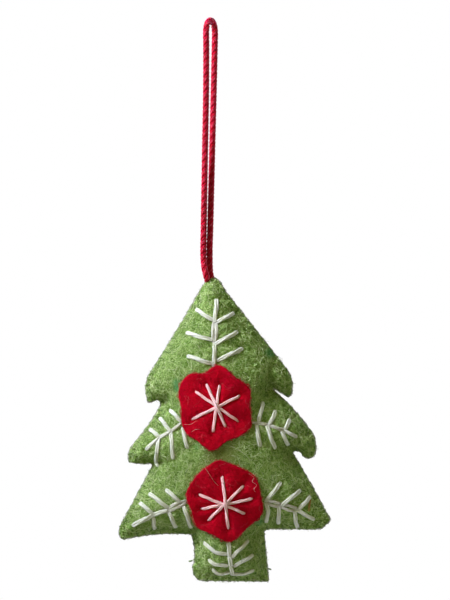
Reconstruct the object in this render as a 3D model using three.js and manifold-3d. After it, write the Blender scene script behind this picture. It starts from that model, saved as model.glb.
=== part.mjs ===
// Stuffed felt Christmas tree with two felt flowers, yarn embroidery and a hanging loop of red cord.
// Millimetres, +Z up, the decorated front faces -Y.
// The origin is the inner top of the cord loop, where a hook or a branch carries the ornament.

import * as THREE from 'three';
import { mergeVertices } from 'three/addons/utils/BufferGeometryUtils.js';
import Module from 'manifold-3d';

const wasm = await Module();
wasm.setup();

// The tree's size, and the size at which its pattern below was drawn
const TREE_WIDTH = 85.1;
const TREE_HEIGHT = 122;
const DRAWN = { width: 85.1, height: 122 };

// Felt, fill and thread sizes
const FELT = 1.8;
const SEAM_GAP = 0.3;
const SEAM_WIDTH = 1.6;
const SWELL = 13.5;
const SWELL_ROUND = 10;
const CLEARANCE = 0.3;
const FLOWER_FELT = 1.6;
const FLOWER_SEAT = 0.45;
const YARN = 1.8;
const STAR_YARN = 1.4;
const YARN_SEAT = 0.4;
const YARN_SIDES = 6;
const STITCH_STEPS = { stem: 8, leaf: 4, star: 6 };
const SEAM_THREAD = 0.8;
const SEAM_THREAD_SIDES = 4;
const SEAM_THREAD_SEAT = 0.65;
const SEAM_STITCH_PITCH = 6;
const SEAM_STITCH_REACH = 1.8;
const SEAM_STITCH_SLANT = 0.6;
const SEAM_ROOM_SHARE = 0.95;
const SEAM_OPENING = 3.9;
const FILL_EDGE = 0.06;
const FILL_OFF = { tipRows: 4, footRows: 3, edgeColumns: 2 };

// Cord sizes
const CORD = 2.3;
const CORD_SIDES = 8;
const CORD_MIDDLE_X = -1.75;
const KNOT = 5.2;
const LOOP_STEPS = 64;
const END_STEPS = 5;
const BALL_FACETS = { around: 8, down: 6 };

// The cord bends on a level line across the ornament, this far below the hook.
// The tree's tip lies just under that line, to the right of the cord.
const BEND_DROP = 100.3;
const TIP_BELOW_BEND = 1.2;
const TIP_X = 1.4;

// The loop: up the left strand, round the bight over the hook and down the right strand.
// The strands part in depth, so the loop is seen nearly edge on from the front.
// share is the way down from the bight to the strands' lower ends, which stop LOOP_RISE above the bend.
const LOOP_RISE = 7.9;
const BIGHT_DEPTH = 3.55;
const LEFT_STRAND = [
  { x: -3.1, y: 0, share: 1 }, { x: -3.1, y: -0.05, share: 0.97 }, { x: -2.95, y: -0.3, share: 0.905 },
  { x: -2.75, y: -0.9, share: 0.77 }, { x: -2.45, y: -1.7, share: 0.61 }, { x: -2.2, y: -2.5, share: 0.455 },
  { x: -1.95, y: -3.3, share: 0.3 }, { x: -1.8, y: -3.9, share: 0.16 }, { x: -1.76, y: -4.3, share: 0.05 },
];
const BIGHT = [
  [-1.76, -4.36, -3.55], [-1.52, -3.77, -1.2], [-0.88, -2.18, 0.52], [0, 0, 1.15],
  [0.88, 2.18, 0.52], [1.52, 3.77, -1.2], [1.76, 4.36, -3.55],
];
const RIGHT_STRAND = [
  { x: 1.7, y: 4.3, share: 0.05 }, { x: 1.5, y: 3.9, share: 0.16 }, { x: 1.2, y: 3.3, share: 0.3 },
  { x: 0.85, y: 2.5, share: 0.455 }, { x: 0.5, y: 1.7, share: 0.61 }, { x: 0.15, y: 0.9, share: 0.77 },
  { x: -0.2, y: 0.3, share: 0.905 }, { x: -0.4, y: 0.05, share: 0.97 }, { x: -0.4, y: 0, share: 1 },
];
// Below the loop, with heights from the bend: the strands run together and end in round bends at the seam
const NECK_LEFT_ROUTE = [[-3.1, 0, 7.6], [-3.05, 0, 5.1], [-2.6, 0, 1.7], [-2.05, 0, -1.3]];
const NECK_RIGHT_ROUTE = [[-0.4, 0, 7.6], [-0.45, 0, 5.1], [-0.35, 0, 2.1], [-0.15, 0, 0]];
// Inside the tip the two ends run on between the felts to their knot
const TAIL_LEFT_ROUTE = [[-1.75, 0, -2.9], [-1.5, 0, -5.7], [-0.6, 0, -9.7], [0.9, 0, -14.7]];
const TAIL_RIGHT_ROUTE = [[0.55, 0, -1.6], [0.75, 0, -4.7], [1, 0, -9.7], [1.5, 0, -14.7]];
const KNOT_AT = [1.2, 0, -16.1];
const TAIL_GROOVE_RISE = 4;

// Corners of the hand-cut outline, from the tip down, in the tree's own frame with the tip at zero.
// round is how far the curve of a corner runs along its edges, bow how far the edge above it bulges out.
const LEFT_CORNERS = {
  shoulder: { x: -5.3, z: -4.6 },
  topBend: { x: -28.1, z: -42.3, round: 4.3, bow: -0.3 },
  topTip: { x: -26.7, z: -50, round: 1.5, bow: 0 },
  topNotch: { x: -20.4, z: -49.5, round: 2.2, bow: 0 },
  middleBend: { x: -34.4, z: -67.8, round: 5, bow: -0.5 },
  middleTip: { x: -34.1, z: -75.3, round: 2, bow: 0 },
  middleNotch: { x: -24.3, z: -74.6, round: 2, bow: 0 },
  bottomBend: { x: -38.5, z: -99.3, round: 3.1, bow: -0.1 },
  bottomTip: { x: -37.2, z: -105.5, round: 2.4, bow: 0 },
  trunkTop: { x: -9, z: -102.7, round: 2.1, bow: -0.9 },
  foot: { x: -9.4, z: -121.7, round: 7.5, bow: -0.9 },
};
const RIGHT_CORNERS = {
  shoulder: { x: 4.5, z: -5.3 },
  topBend: { x: 31.9, z: -40.2, round: 4.6, bow: 0 },
  topTip: { x: 31.1, z: -49, round: 3.3, bow: 0 },
  topNotch: { x: 22.6, z: -43.8, round: 2.5, bow: 0 },
  middleBend: { x: 41.3, z: -63.9, round: 5.1, bow: 0.7 },
  middleTip: { x: 39.2, z: -73.3, round: 3.9, bow: 0 },
  middleNotch: { x: 31.7, z: -69.1, round: 1.6, bow: 0 },
  bottomBend: { x: 46.6, z: -95.5, round: 2.5, bow: 0.1 },
  bottomTip: { x: 44.4, z: -101.1, round: 2.7, bow: 0 },
  trunkTop: { x: 20, z: -100.9, round: 1.6, bow: 0 },
  foot: { x: 22.9, z: -122, round: 4.8, bow: 0 },
};
// Points along the edge above a corner and round a corner, and how far a corner's rows spread
const EDGE_STEPS = {
  topBend: 5, topTip: 1, topNotch: 1, middleBend: 3, middleTip: 1, middleNotch: 1,
  bottomBend: 4, bottomTip: 1, trunkTop: 3, foot: 2,
};
const CORNER_POINTS = {
  topBend: 3, topTip: 3, topNotch: 3, middleBend: 3, middleTip: 3, middleNotch: 3,
  bottomBend: 3, bottomTip: 3, trunkTop: 2, foot: 4,
};
const CORNER_SPREAD = 0.12;

// A row of the felt's mesh starts at an edge corner and climbs this far to the middle line
const ROW_RISE = {
  shoulder: 1, topBend: 19, topTip: 22, topNotch: 14, middleBend: 19, middleTip: 22,
  middleNotch: 15, bottomBend: 20, bottomTip: 23, trunkTop: 10, foot: 4,
};
// Shares of the way from the middle line to the edge at which a row has points
const ROW_SHARES = [0, 0.3, 0.55, 0.75, 0.88, 0.95, 1];

// Felt flowers: middle in the tree's frame, radius, then lobe tips and dents round the rim
const UPPER_FLOWER = {
  x: 1.3, z: -51.8, radius: 15,
  rim: [
    { degrees: 2, share: 0.86 }, { degrees: 26, share: 0.98 }, { degrees: 40, share: 0.96 },
    { degrees: 58, share: 0.92 }, { degrees: 87, share: 1.11 }, { degrees: 112, share: 0.98 },
    { degrees: 138, share: 1.15 }, { degrees: 165, share: 1.06 }, { degrees: 182, share: 0.95 },
    { degrees: 203, share: 1.03 }, { degrees: 222, share: 1.08 }, { degrees: 235, share: 1.04 },
    { degrees: 264, share: 1.17 }, { degrees: 287, share: 0.94 }, { degrees: 308, share: 0.98 },
    { degrees: 328, share: 1.03 }, { degrees: 343, share: 0.94 },
  ],
};
const LOWER_FLOWER = {
  x: 4.6, z: -89.9, radius: 15,
  rim: [
    { degrees: 12, share: 0.96 }, { degrees: 42, share: 1.05 }, { degrees: 66, share: 1 },
    { degrees: 78, share: 1.02 }, { degrees: 100, share: 1.13 }, { degrees: 118, share: 1.07 },
    { degrees: 138, share: 1.04 }, { degrees: 168, share: 1.07 }, { degrees: 195, share: 0.93 },
    { degrees: 221, share: 1 }, { degrees: 245, share: 0.92 }, { degrees: 277, share: 1.05 },
    { degrees: 312, share: 0.89 }, { degrees: 343, share: 1.01 },
  ],
};
// Rings of a flower's mesh as shares of its radius, and points round each ring
const FLOWER_RINGS = [0.35, 0.7, 1];
const FLOWER_POINTS = 36;
// The ends of each star's four stitches, seen from the flower's middle
const UPPER_STAR = [
  [[-4.2, 8.8], [3.3, -7.9]], [[0.9, 8.7], [-1.7, -9.9]],
  [[-8.7, 6.1], [8.2, -5.7]], [[8.8, 4.4], [-10.1, -5.1]],
];
const LOWER_STAR = [
  [[-1.3, 10.4], [1.1, -10.4]], [[7.1, 6.6], [-6.9, -7.2]],
  [[10.6, 1.4], [-9.6, -2.6]], [[7.8, -4.5], [-10.4, 3.1]],
];

// Embroidered sprigs in the tree's frame: a stem from its outer end inwards, then leaves from tip to stem
const SPRIGS = {
  top_sprig_yarn: {
    stem: [[1, -9.3], [0.4, -18.4], [0.2, -26.4], [0.2, -33.6]],
    leaves: [
      [[-6.9, -13.1], [0.4, -17.9]], [[7.6, -14.6], [0.4, -18.6]],
      [[-10.9, -22.4], [0.2, -25.6]], [[9.2, -22], [0.2, -27]],
      [[-10.4, -31.6], [0.2, -33]], [[11.3, -28.6], [0.2, -33.4]],
    ],
  },
  left_middle_sprig_yarn: {
    stem: [[-26.9, -68.8], [-21.6, -64.2], [-17.1, -61.8], [-15.2, -60.2]],
    leaves: [
      [[-25.4, -61], [-21.6, -64.2]], [[-23, -73.2], [-21.8, -64.4]],
      [[-21.4, -56.6], [-17.1, -61.8]], [[-16.4, -71.8], [-17.1, -62]],
      [[-18, -54.4], [-15.2, -60.2]], [[-11.6, -69.2], [-15.2, -60.6]],
    ],
  },
  right_middle_sprig_yarn: {
    stem: [[32.8, -63.8], [27.7, -61.2], [21.3, -59], [18.4, -58.4]],
    leaves: [
      [[30, -57.2], [27.9, -61.2]], [[29.5, -66.8], [26.8, -61.2]],
      [[24.4, -53.7], [21.8, -59.2]], [[24.2, -68.4], [20.9, -59.2]],
      [[19.6, -50.6], [18.6, -58.4]], [[18.6, -67.4], [18.4, -58.6]],
    ],
  },
  left_lower_sprig_yarn: {
    stem: [[-32.2, -99.2], [-24.4, -94.9], [-18.5, -93], [-13.6, -91]],
    leaves: [
      [[-29.4, -90.5], [-24.2, -94.8]], [[-23.8, -100.2], [-24.2, -95]],
      [[-25.6, -86.6], [-18.2, -92.8]], [[-15.3, -99.7], [-18.2, -93]],
      [[-18.9, -85], [-13.8, -91]], [[-10.2, -99.4], [-13.6, -91.2]],
    ],
  },
  right_lower_sprig_yarn: {
    stem: [[39.9, -96.7], [32.7, -92.8], [26.1, -91], [22.6, -90]],
    leaves: [
      [[38.1, -88], [33.4, -93]], [[33.2, -98.6], [32, -92.8]],
      [[34.2, -85.3], [26.8, -91.2]], [[25.8, -98.2], [25.8, -91]],
      [[26.5, -82.2], [22.8, -90]], [[22.4, -97.7], [22.6, -90.2]],
    ],
  },
  trunk_sprig_yarn: {
    stem: [[6.3, -107.6], [6.4, -111.5], [6.8, -115.4], [7.2, -118]],
    leaves: [
      [[-3.8, -106.4], [0.7, -109.7], [6.4, -111]], [[13.5, -106], [6.4, -111.6]],
      [[-2.4, -113], [0.3, -114.5], [6.6, -115]], [[15.3, -111.1], [6.8, -115.4]],
      [[0, -116.6], [2.2, -118], [7, -117.8]], [[15.4, -116.6], [11.1, -118.2], [7.2, -118]],
    ],
  },
};

const FELT_GREEN = { color: 0x7f9a58, roughness: 0.95, metalness: 0 };
const FELT_RED = { color: 0xa00a1e, roughness: 0.95, metalness: 0 };
const YARN_WHITE = { color: 0xe8e9dc, roughness: 0.9, metalness: 0 };
const THREAD_GREEN = { color: 0x5f7a40, roughness: 0.85, metalness: 0 };
const FILL_WHITE = { color: 0xeeeae0, roughness: 1, metalness: 0 };
const CORD_RED = { color: 0xa80a2c, roughness: 0.6, metalness: 0 };

// Solids

function solidFrom(geometry) {
  const bare = geometry.clone();
  bare.deleteAttribute('normal');
  bare.deleteAttribute('uv');
  const merged = mergeVertices(bare, 1e-4);
  return new wasm.Manifold(new wasm.Mesh({
    numProp: 3,
    vertProperties: new Float32Array(merged.attributes.position.array),
    triVerts: new Uint32Array(merged.index.array),
  }));
}

function geometryFrom(solid) {
  const mesh = solid.getMesh();
  const geometry = new THREE.BufferGeometry();
  geometry.setAttribute('position', new THREE.BufferAttribute(mesh.vertProperties, 3));
  geometry.setIndex(new THREE.BufferAttribute(mesh.triVerts, 1));
  return geometry;
}

function joined(geometries) {
  const solids = geometries.map(solidFrom);
  return geometryFrom(solids.reduce((whole, next) => whole.add(next)));
}

function cutBy(geometry, cutter) {
  return geometryFrom(solidFrom(geometry).subtract(solidFrom(cutter)));
}

// A closed skin over a grid of front points and a grid of back points with the same rows and columns
function skin(front, back) {
  const rows = front.length;
  const columns = front[0].length;
  const position = [...front.flat(), ...back.flat()].flatMap((point) => [point.x, point.y, point.z]);
  const index = [];
  const near = (row, column) => row * columns + column;
  const far = (row, column) => rows * columns + near(row, column);
  const quad = (a, b, c, d) => index.push(a, b, c, a, c, d);
  for (let row = 0; row + 1 < rows; row += 1) {
    for (let column = 0; column + 1 < columns; column += 1) {
      quad(near(row, column), near(row + 1, column), near(row + 1, column + 1), near(row, column + 1));
      quad(far(row, column), far(row, column + 1), far(row + 1, column + 1), far(row + 1, column));
    }
  }
  for (let row = 0; row + 1 < rows; row += 1) {
    const last = columns - 1;
    quad(near(row, 0), far(row, 0), far(row + 1, 0), near(row + 1, 0));
    quad(near(row + 1, last), far(row + 1, last), far(row, last), near(row, last));
  }
  for (let column = 0; column + 1 < columns; column += 1) {
    const last = rows - 1;
    quad(near(0, column + 1), far(0, column + 1), far(0, column), near(0, column));
    quad(near(last, column), far(last, column), far(last, column + 1), near(last, column + 1));
  }
  const geometry = new THREE.BufferGeometry();
  geometry.setAttribute('position', new THREE.Float32BufferAttribute(position, 3));
  geometry.setIndex(index);
  return geometry;
}

// A tube with flat ends along a curve
function tube(curve, diameter, sides, steps) {
  const section = new THREE.Shape();
  for (let side = 0; side < sides; side += 1) {
    const angle = (2 * Math.PI * side) / sides;
    const corner = [0.5 * diameter * Math.cos(angle), 0.5 * diameter * Math.sin(angle)];
    if (side === 0) section.moveTo(...corner);
    else section.lineTo(...corner);
  }
  section.closePath();
  const along = { extrudePath: curve, steps, curveSegments: 1, bevelEnabled: false };
  return new THREE.ExtrudeGeometry(section, along);
}

// The outline

// From the drawn pattern to the tree's own size
const wide = (x) => (x * TREE_WIDTH) / DRAWN.width;
const tall = (z) => (z * TREE_HEIGHT) / DRAWN.height;

const CORNER_NAMES = Object.keys(LEFT_CORNERS);

function cornersToSize(corners) {
  return Object.fromEntries(CORNER_NAMES.map((name) => {
    const corner = corners[name];
    return [name, { ...corner, x: wide(corner.x), z: tall(corner.z) }];
  }));
}

const leftCorners = cornersToSize(LEFT_CORNERS);
const rightCorners = cornersToSize(RIGHT_CORNERS);

// Points down one side: each edge with its bow, then the curve of its corner, and for each point a place
// along the list of corners
function sidePoints(corners, outward) {
  const places = CORNER_NAMES.map((name) => new THREE.Vector2(corners[name].x, corners[name].z));
  const cut = (from, to, length) => from.clone().add(to.clone().sub(from).setLength(length));
  const points = [];
  let start = places[0];
  points.push({ at: start, along: 0 });
  for (let key = 1; key < places.length; key += 1) {
    const name = CORNER_NAMES[key];
    const next = places[key + 1] ?? new THREE.Vector2(0, places[key].y);
    const arrive = cut(places[key], places[key - 1], corners[name].round);
    const leave = cut(places[key], next, corners[name].round);
    const across = arrive.clone().sub(start).normalize();
    const control = start.clone().add(arrive).multiplyScalar(0.5);
    control.add(new THREE.Vector2(across.y, -across.x).multiplyScalar(2 * outward * corners[name].bow));
    const steps = EDGE_STEPS[name];
    const edge = new THREE.QuadraticBezierCurve(start, control, arrive).getPoints(steps).slice(1, -1);
    edge.forEach((at, step) => points.push({ at, along: key - 1 + (step + 1) / (steps + 0.5) }));
    const corner = new THREE.QuadraticBezierCurve(arrive, places[key], leave);
    const bends = CORNER_POINTS[name] - 1;
    corner.getPoints(bends).forEach((at, bend) => {
      points.push({ at, along: key + CORNER_SPREAD * (bend / bends - 0.5) });
    });
    start = leave;
  }
  return points;
}

const leftSide = sidePoints(leftCorners, 1);
const rightSide = sidePoints(rightCorners, -1);

// The middle line leans with the tree, from the tip to the middle of the trunk's foot
const footMiddle = new THREE.Vector2(
  0.5 * (leftCorners.foot.x + rightCorners.foot.x),
  0.5 * (leftCorners.foot.z + rightCorners.foot.z),
);

function middleAt(along) {
  const heights = CORNER_NAMES.map(
    (name) => 0.5 * (leftCorners[name].z + rightCorners[name].z) + tall(ROW_RISE[name]),
  );
  const place = Math.min(Math.max(along, 0), heights.length - 1);
  const below = Math.min(Math.floor(place), heights.length - 2);
  const z = THREE.MathUtils.lerp(heights[below], heights[below + 1], place - below);
  return new THREE.Vector2((footMiddle.x * z) / footMiddle.y, z);
}

// Rows across the felt from the left edge over the middle line to the right edge.
// The first row is the rounded tip, the last the straight foot of the trunk.
function plan() {
  const shares = [...ROW_SHARES.slice(1).reverse().map((share) => -share), ...ROW_SHARES];
  const tip = new THREE.QuadraticBezierCurve(
    leftSide[0].at, new THREE.Vector2(0, -leftCorners.shoulder.z), rightSide[0].at,
  );
  const rows = [shares.map((share) => tip.getPoint(0.5 + 0.5 * share))];
  for (let row = 1; row < leftSide.length; row += 1) {
    const last = row === leftSide.length - 1;
    const middle = last ? footMiddle : middleAt(leftSide[row].along);
    rows.push(shares.map((share) => {
      const edge = share < 0 ? leftSide[row].at : rightSide[row].at;
      return middle.clone().lerp(edge, Math.abs(share));
    }));
  }
  return rows;
}

const feltPlan = plan();
const edgeLoop = [
  ...feltPlan[0].slice(1, -1),
  ...feltPlan.map((row) => row.at(-1)),
  ...feltPlan.at(-1).slice(1, -1).reverse(),
  ...feltPlan.map((row) => row[0]).reverse(),
];

// A smooth distance from the outline: the integral of 1/r^3 along a straight edge is 2/d^2, so this is d
// beside an edge and rounds off into a ridge where edges meet
function depthInside(point) {
  let pull = 0;
  edgeLoop.forEach((from, step) => {
    const to = edgeLoop[(step + 1) % edgeLoop.length];
    const run = to.clone().sub(from);
    const length = run.length();
    const offset = point.clone().sub(from);
    const ahead = offset.dot(run) / length;
    const aside = Math.max(Math.abs(offset.cross(run)) / length, 1e-3);
    const reach = (distance) => distance / (aside * aside * Math.hypot(distance, aside));
    pull += reach(ahead) + reach(length - ahead);
  });
  return Math.sqrt(2 / pull);
}

function swell(depth) {
  return SWELL * (1 - Math.exp(-Math.max(depth, 0) / SWELL_ROUND));
}

const outerAt = (point) => 0.5 * SEAM_GAP + FELT + swell(depthInside(point));
const innerAt = (point) => 0.5 * SEAM_GAP + swell(depthInside(point) - SEAM_WIDTH);

const feltHeights = feltPlan.map((row) => row.map(outerAt));

// Height of the felt's flat facets over a point of the plan
function facetAt(point) {
  const spot = new THREE.Vector3(point.x, point.y, 0);
  const corner = (row, column) => new THREE.Vector3(feltPlan[row][column].x, feltPlan[row][column].y, 0);
  const shares = new THREE.Vector3();
  for (let row = 0; row + 1 < feltPlan.length; row += 1) {
    for (let column = 0; column + 1 < feltPlan[row].length; column += 1) {
      const ends = [[row, column], [row + 1, column], [row + 1, column + 1], [row, column + 1]];
      for (const [a, b, c] of [[0, 1, 2], [0, 2, 3]]) {
        const face = [ends[a], ends[b], ends[c]];
        const found = THREE.Triangle.getBarycoord(spot, ...face.map((end) => corner(...end)), shares);
        if (found && Math.min(shares.x, shares.y, shares.z) >= -1e-6) {
          const heights = face.map(([r, k]) => feltHeights[r][k]);
          return heights[0] * shares.x + heights[1] * shares.y + heights[2] * shares.z;
        }
      }
    }
  }
  return outerAt(point);
}

// The highest felt under a strip that runs through a point, for what lies along the felt
function highestUnder(point, across, halfWidth) {
  const spots = [-1, 0, 1].map((side) => point.clone().addScaledVector(across, side * halfWidth));
  return Math.max(outerAt(point), ...spots.map(facetAt));
}

function onFelt(point, side, height) {
  return new THREE.Vector3(point.x, side * height, point.y);
}

const FRONT = -1;
const BACK = 1;

function panelGeometry(side) {
  const outer = feltPlan.map((row) => row.map((point) => onFelt(point, side, outerAt(point))));
  const inner = feltPlan.map((row) => row.map((point) => onFelt(point, side, innerAt(point))));
  return side === FRONT ? skin(outer, inner) : skin(inner, outer);
}

// Fill keeps off the seam and a clearance from both felts
function stuffingGeometry() {
  const { tipRows, footRows, edgeColumns } = FILL_OFF;
  const inside = feltPlan.slice(tipRows, -footRows).map((row) => row.slice(edgeColumns, -edgeColumns));
  const height = (point) => Math.max(innerAt(point) - CLEARANCE, FILL_EDGE);
  const front = inside.map((row) => row.map((point) => onFelt(point, FRONT, height(point))));
  const back = inside.map((row) => row.map((point) => onFelt(point, BACK, height(point))));
  return skin(front, back);
}

// Flowers

function flowerOutline(flower) {
  const rim = flower.rim.map(({ degrees, share }) => {
    const angle = THREE.MathUtils.degToRad(degrees);
    const radius = share * flower.radius;
    return new THREE.Vector3(wide(radius * Math.cos(angle)), tall(radius * Math.sin(angle)), 0);
  });
  return new THREE.CatmullRomCurve3(rim, true, 'centripetal').getSpacedPoints(FLOWER_POINTS).slice(0, -1);
}

function flowerGeometry(flower) {
  const rings = FLOWER_RINGS;
  const outline = flowerOutline(flower);
  const x0 = wide(flower.x);
  const z0 = tall(flower.z);
  const count = outline.length;
  const position = [];
  const index = [];
  const under = (x, z) => {
    const at = new THREE.Vector2(x, z);
    return Math.max(outerAt(at), facetAt(at)) + FLOWER_SEAT;
  };
  const put = (x, z, rise) => position.push(x, FRONT * (under(x, z) + rise), z);
  for (const rise of [FLOWER_FELT, 0]) {
    put(x0, z0, rise);
    rings.forEach((ring) => outline.forEach((at) => put(x0 + ring * at.x, z0 + ring * at.y, rise)));
  }
  const layer = 1 + rings.length * count;
  const at = (face, ring, step) => face * layer + 1 + ring * count + (step % count);
  for (let step = 0; step < count; step += 1) {
    index.push(0, at(0, 0, step), at(0, 0, step + 1));
    index.push(layer, at(1, 0, step + 1), at(1, 0, step));
    for (let ring = 0; ring + 1 < rings.length; ring += 1) {
      index.push(at(0, ring, step), at(0, ring + 1, step), at(0, ring + 1, step + 1));
      index.push(at(0, ring, step), at(0, ring + 1, step + 1), at(0, ring, step + 1));
      index.push(at(1, ring, step), at(1, ring + 1, step + 1), at(1, ring + 1, step));
      index.push(at(1, ring, step), at(1, ring, step + 1), at(1, ring + 1, step + 1));
    }
    const rim = rings.length - 1;
    index.push(at(0, rim, step), at(1, rim, step), at(1, rim, step + 1));
    index.push(at(0, rim, step), at(1, rim, step + 1), at(0, rim, step + 1));
  }
  const geometry = new THREE.BufferGeometry();
  geometry.setAttribute('position', new THREE.Float32BufferAttribute(position, 3));
  geometry.setIndex(index);
  return geometry;
}

// Embroidery

// A stitch lies along the felt through its points, lifted by its seat and half its thickness
function stitch(points, thickness, lift, steps) {
  const route = new THREE.CatmullRomCurve3(points.map(([x, z]) => new THREE.Vector3(wide(x), tall(z), 0)));
  const laid = route.getSpacedPoints(steps).map((at, step) => {
    const along = route.getTangentAt(step / steps);
    const across = new THREE.Vector2(along.y, -along.x);
    const under = highestUnder(new THREE.Vector2(at.x, at.y), across, 0.5 * thickness);
    return new THREE.Vector3(at.x, FRONT * (under + lift + 0.5 * thickness), at.y);
  });
  return tube(new THREE.CatmullRomCurve3(laid), thickness, YARN_SIDES, steps);
}

function sprigGeometry(sprig) {
  const stem = stitch(sprig.stem, YARN, YARN_SEAT, STITCH_STEPS.stem);
  const leaves = sprig.leaves.map((leaf) => stitch(leaf, YARN, YARN_SEAT, STITCH_STEPS.leaf));
  return joined([stem, ...leaves]);
}

function starGeometry(flower, star) {
  const lift = FLOWER_SEAT + FLOWER_FELT + YARN_SEAT;
  return joined(star.map((ends) => {
    const points = ends.map(([x, z]) => [flower.x + x, flower.z + z]);
    return stitch(points, STAR_YARN, lift, STITCH_STEPS.star);
  }));
}

// Seam thread: one length overcast along the edge, to and fro over the rim from face to face.
// It starts and ends beside the cord. In the notches it steps across from one edge to the other.
function seamThreadGeometry() {
  const corners = edgeLoop.map((at) => new THREE.Vector3(at.x, at.y, 0));
  const rim = new THREE.CatmullRomCurve3(corners, true, 'catmullrom', 0);
  rim.arcLengthDivisions = 8 * corners.length;
  const length = rim.getLength();
  const count = 2 * Math.round(length / SEAM_STITCH_PITCH);
  const advance = length / count;
  const off = SEAM_THREAD_SEAT + 0.5 * SEAM_THREAD;
  const half = 0.5 * SEAM_GAP + FELT;
  const spot = (distance, inside) => {
    const share = (distance / length) % 1;
    const at = rim.getPointAt(share);
    const along = rim.getTangentAt(share);
    return new THREE.Vector2(at.x + inside * along.y, at.y - inside * along.x);
  };
  const route = [];
  for (let step = 0; step < count; step += 1) {
    const middle = (step + 0.5) * advance;
    const side = step % 2 === 0 ? FRONT : BACK;
    const held = spot(middle, SEAM_STITCH_REACH);
    const across = held.clone().sub(spot(middle, 0)).normalize();
    const before = spot(middle - SEAM_STITCH_SLANT, -off);
    const after = spot(middle + SEAM_STITCH_SLANT, -off);
    const over = spot(middle + 0.5 * advance, -off);
    const crowded = [before, after, over].some((at) => distanceToEdge(at) < SEAM_ROOM_SHARE * off);
    const besideCord = Math.abs(held.x + TIP_X - CORD_MIDDLE_X) < SEAM_OPENING;
    const nearTip = held.y > leftCorners.topNotch.z;
    if (crowded || (besideCord && nearTip)) continue;
    route.push(onFelt(before, side, half));
    route.push(onFelt(held, side, highestUnder(held, across, 0.5 * SEAM_THREAD) + off));
    route.push(onFelt(after, side, half));
    route.push(onFelt(over, side, 0));
  }
  return threadTube(route, SEAM_THREAD, SEAM_THREAD_SIDES);
}

function distanceToEdge(point) {
  const nearest = new THREE.Vector3();
  const spot = new THREE.Vector3(point.x, point.y, 0);
  const distances = edgeLoop.map((from, step) => {
    const to = edgeLoop[(step + 1) % edgeLoop.length];
    const run = new THREE.Line3(new THREE.Vector3(from.x, from.y, 0), new THREE.Vector3(to.x, to.y, 0));
    return run.closestPointToPoint(spot, true, nearest).distanceTo(spot);
  });
  return Math.min(...distances);
}

// A thread through a list of points: a ring of corners at each point, square to the way on, and flat ends
function threadTube(route, diameter, sides) {
  const position = [];
  const index = [];
  const last = route.length - 1;
  const across = new THREE.Vector3();
  const along = new THREE.Vector3();
  const up = new THREE.Vector3(0, 1, 0);
  route.forEach((at, step) => {
    along.subVectors(route[Math.min(step + 1, last)], route[Math.max(step - 1, 0)]).normalize();
    across.crossVectors(along, up).normalize();
    up.crossVectors(across, along).normalize();
    for (let side = 0; side < sides; side += 1) {
      const angle = (2 * Math.PI * side) / sides;
      const corner = at.clone();
      corner.addScaledVector(up, 0.5 * diameter * Math.cos(angle));
      corner.addScaledVector(across, 0.5 * diameter * Math.sin(angle));
      position.push(corner.x, corner.y, corner.z);
    }
  });
  for (let step = 0; step < last; step += 1) {
    for (let side = 0; side < sides; side += 1) {
      const here = step * sides;
      const there = here + sides;
      const next = (side + 1) % sides;
      index.push(here + side, here + next, there + next, here + side, there + next, there + side);
    }
  }
  for (let side = 1; side + 1 < sides; side += 1) {
    index.push(0, side + 1, side);
    index.push(last * sides, last * sides + side, last * sides + side + 1);
  }
  const geometry = new THREE.BufferGeometry();
  geometry.setAttribute('position', new THREE.Float32BufferAttribute(position, 3));
  geometry.setIndex(index);
  return geometry;
}

// Cord

function cordCurve(route) {
  return new THREE.CatmullRomCurve3(route.map((at) => new THREE.Vector3(...at)), false, 'centripetal');
}

function ball(at, diameter) {
  return new THREE.SphereGeometry(0.5 * diameter, BALL_FACETS.around, BALL_FACETS.down).translate(...at);
}

function loopGeometry() {
  const drop = BEND_DROP - LOOP_RISE - BIGHT_DEPTH;
  const strand = (points) => points.map(({ x, y, share }) => [x, y, -BIGHT_DEPTH - share * drop]);
  const route = [...strand(LEFT_STRAND), ...BIGHT, ...strand(RIGHT_STRAND)];
  return tube(cordCurve(route), CORD, CORD_SIDES, LOOP_STEPS);
}

function neckGeometry() {
  return joined([NECK_LEFT_ROUTE, NECK_RIGHT_ROUTE].flatMap((route) => [
    tube(cordCurve(route), CORD, CORD_SIDES, END_STEPS),
    ball(route.at(-1), CORD),
  ]));
}

// The tails and their knot, or with a margin the room that they take up between the felts
function knotGeometry(margin, rise) {
  const tails = [TAIL_LEFT_ROUTE, TAIL_RIGHT_ROUTE].map((route) => {
    const [x, y, z] = route[0];
    const longer = rise > 0 ? [[x, y, z + rise], ...route] : route;
    return tube(cordCurve(longer), CORD + 2 * margin, CORD_SIDES, END_STEPS);
  });
  return joined([...tails, ball(KNOT_AT, KNOT + 2 * margin)]);
}

// Scene

function mesh(name, geometry, finish) {
  const material = new THREE.MeshStandardMaterial({ ...finish, flatShading: true });
  const part = new THREE.Mesh(geometry, material);
  part.name = name;
  return part;
}

const ornament = new THREE.Group();
const tree = new THREE.Group();
tree.position.set(TIP_X, 0, -BEND_DROP - TIP_BELOW_BEND);
ornament.add(tree);

const knotRoom = knotGeometry(CLEARANCE, TAIL_GROOVE_RISE);
knotRoom.translate(-TIP_X, 0, TIP_BELOW_BEND);

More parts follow.
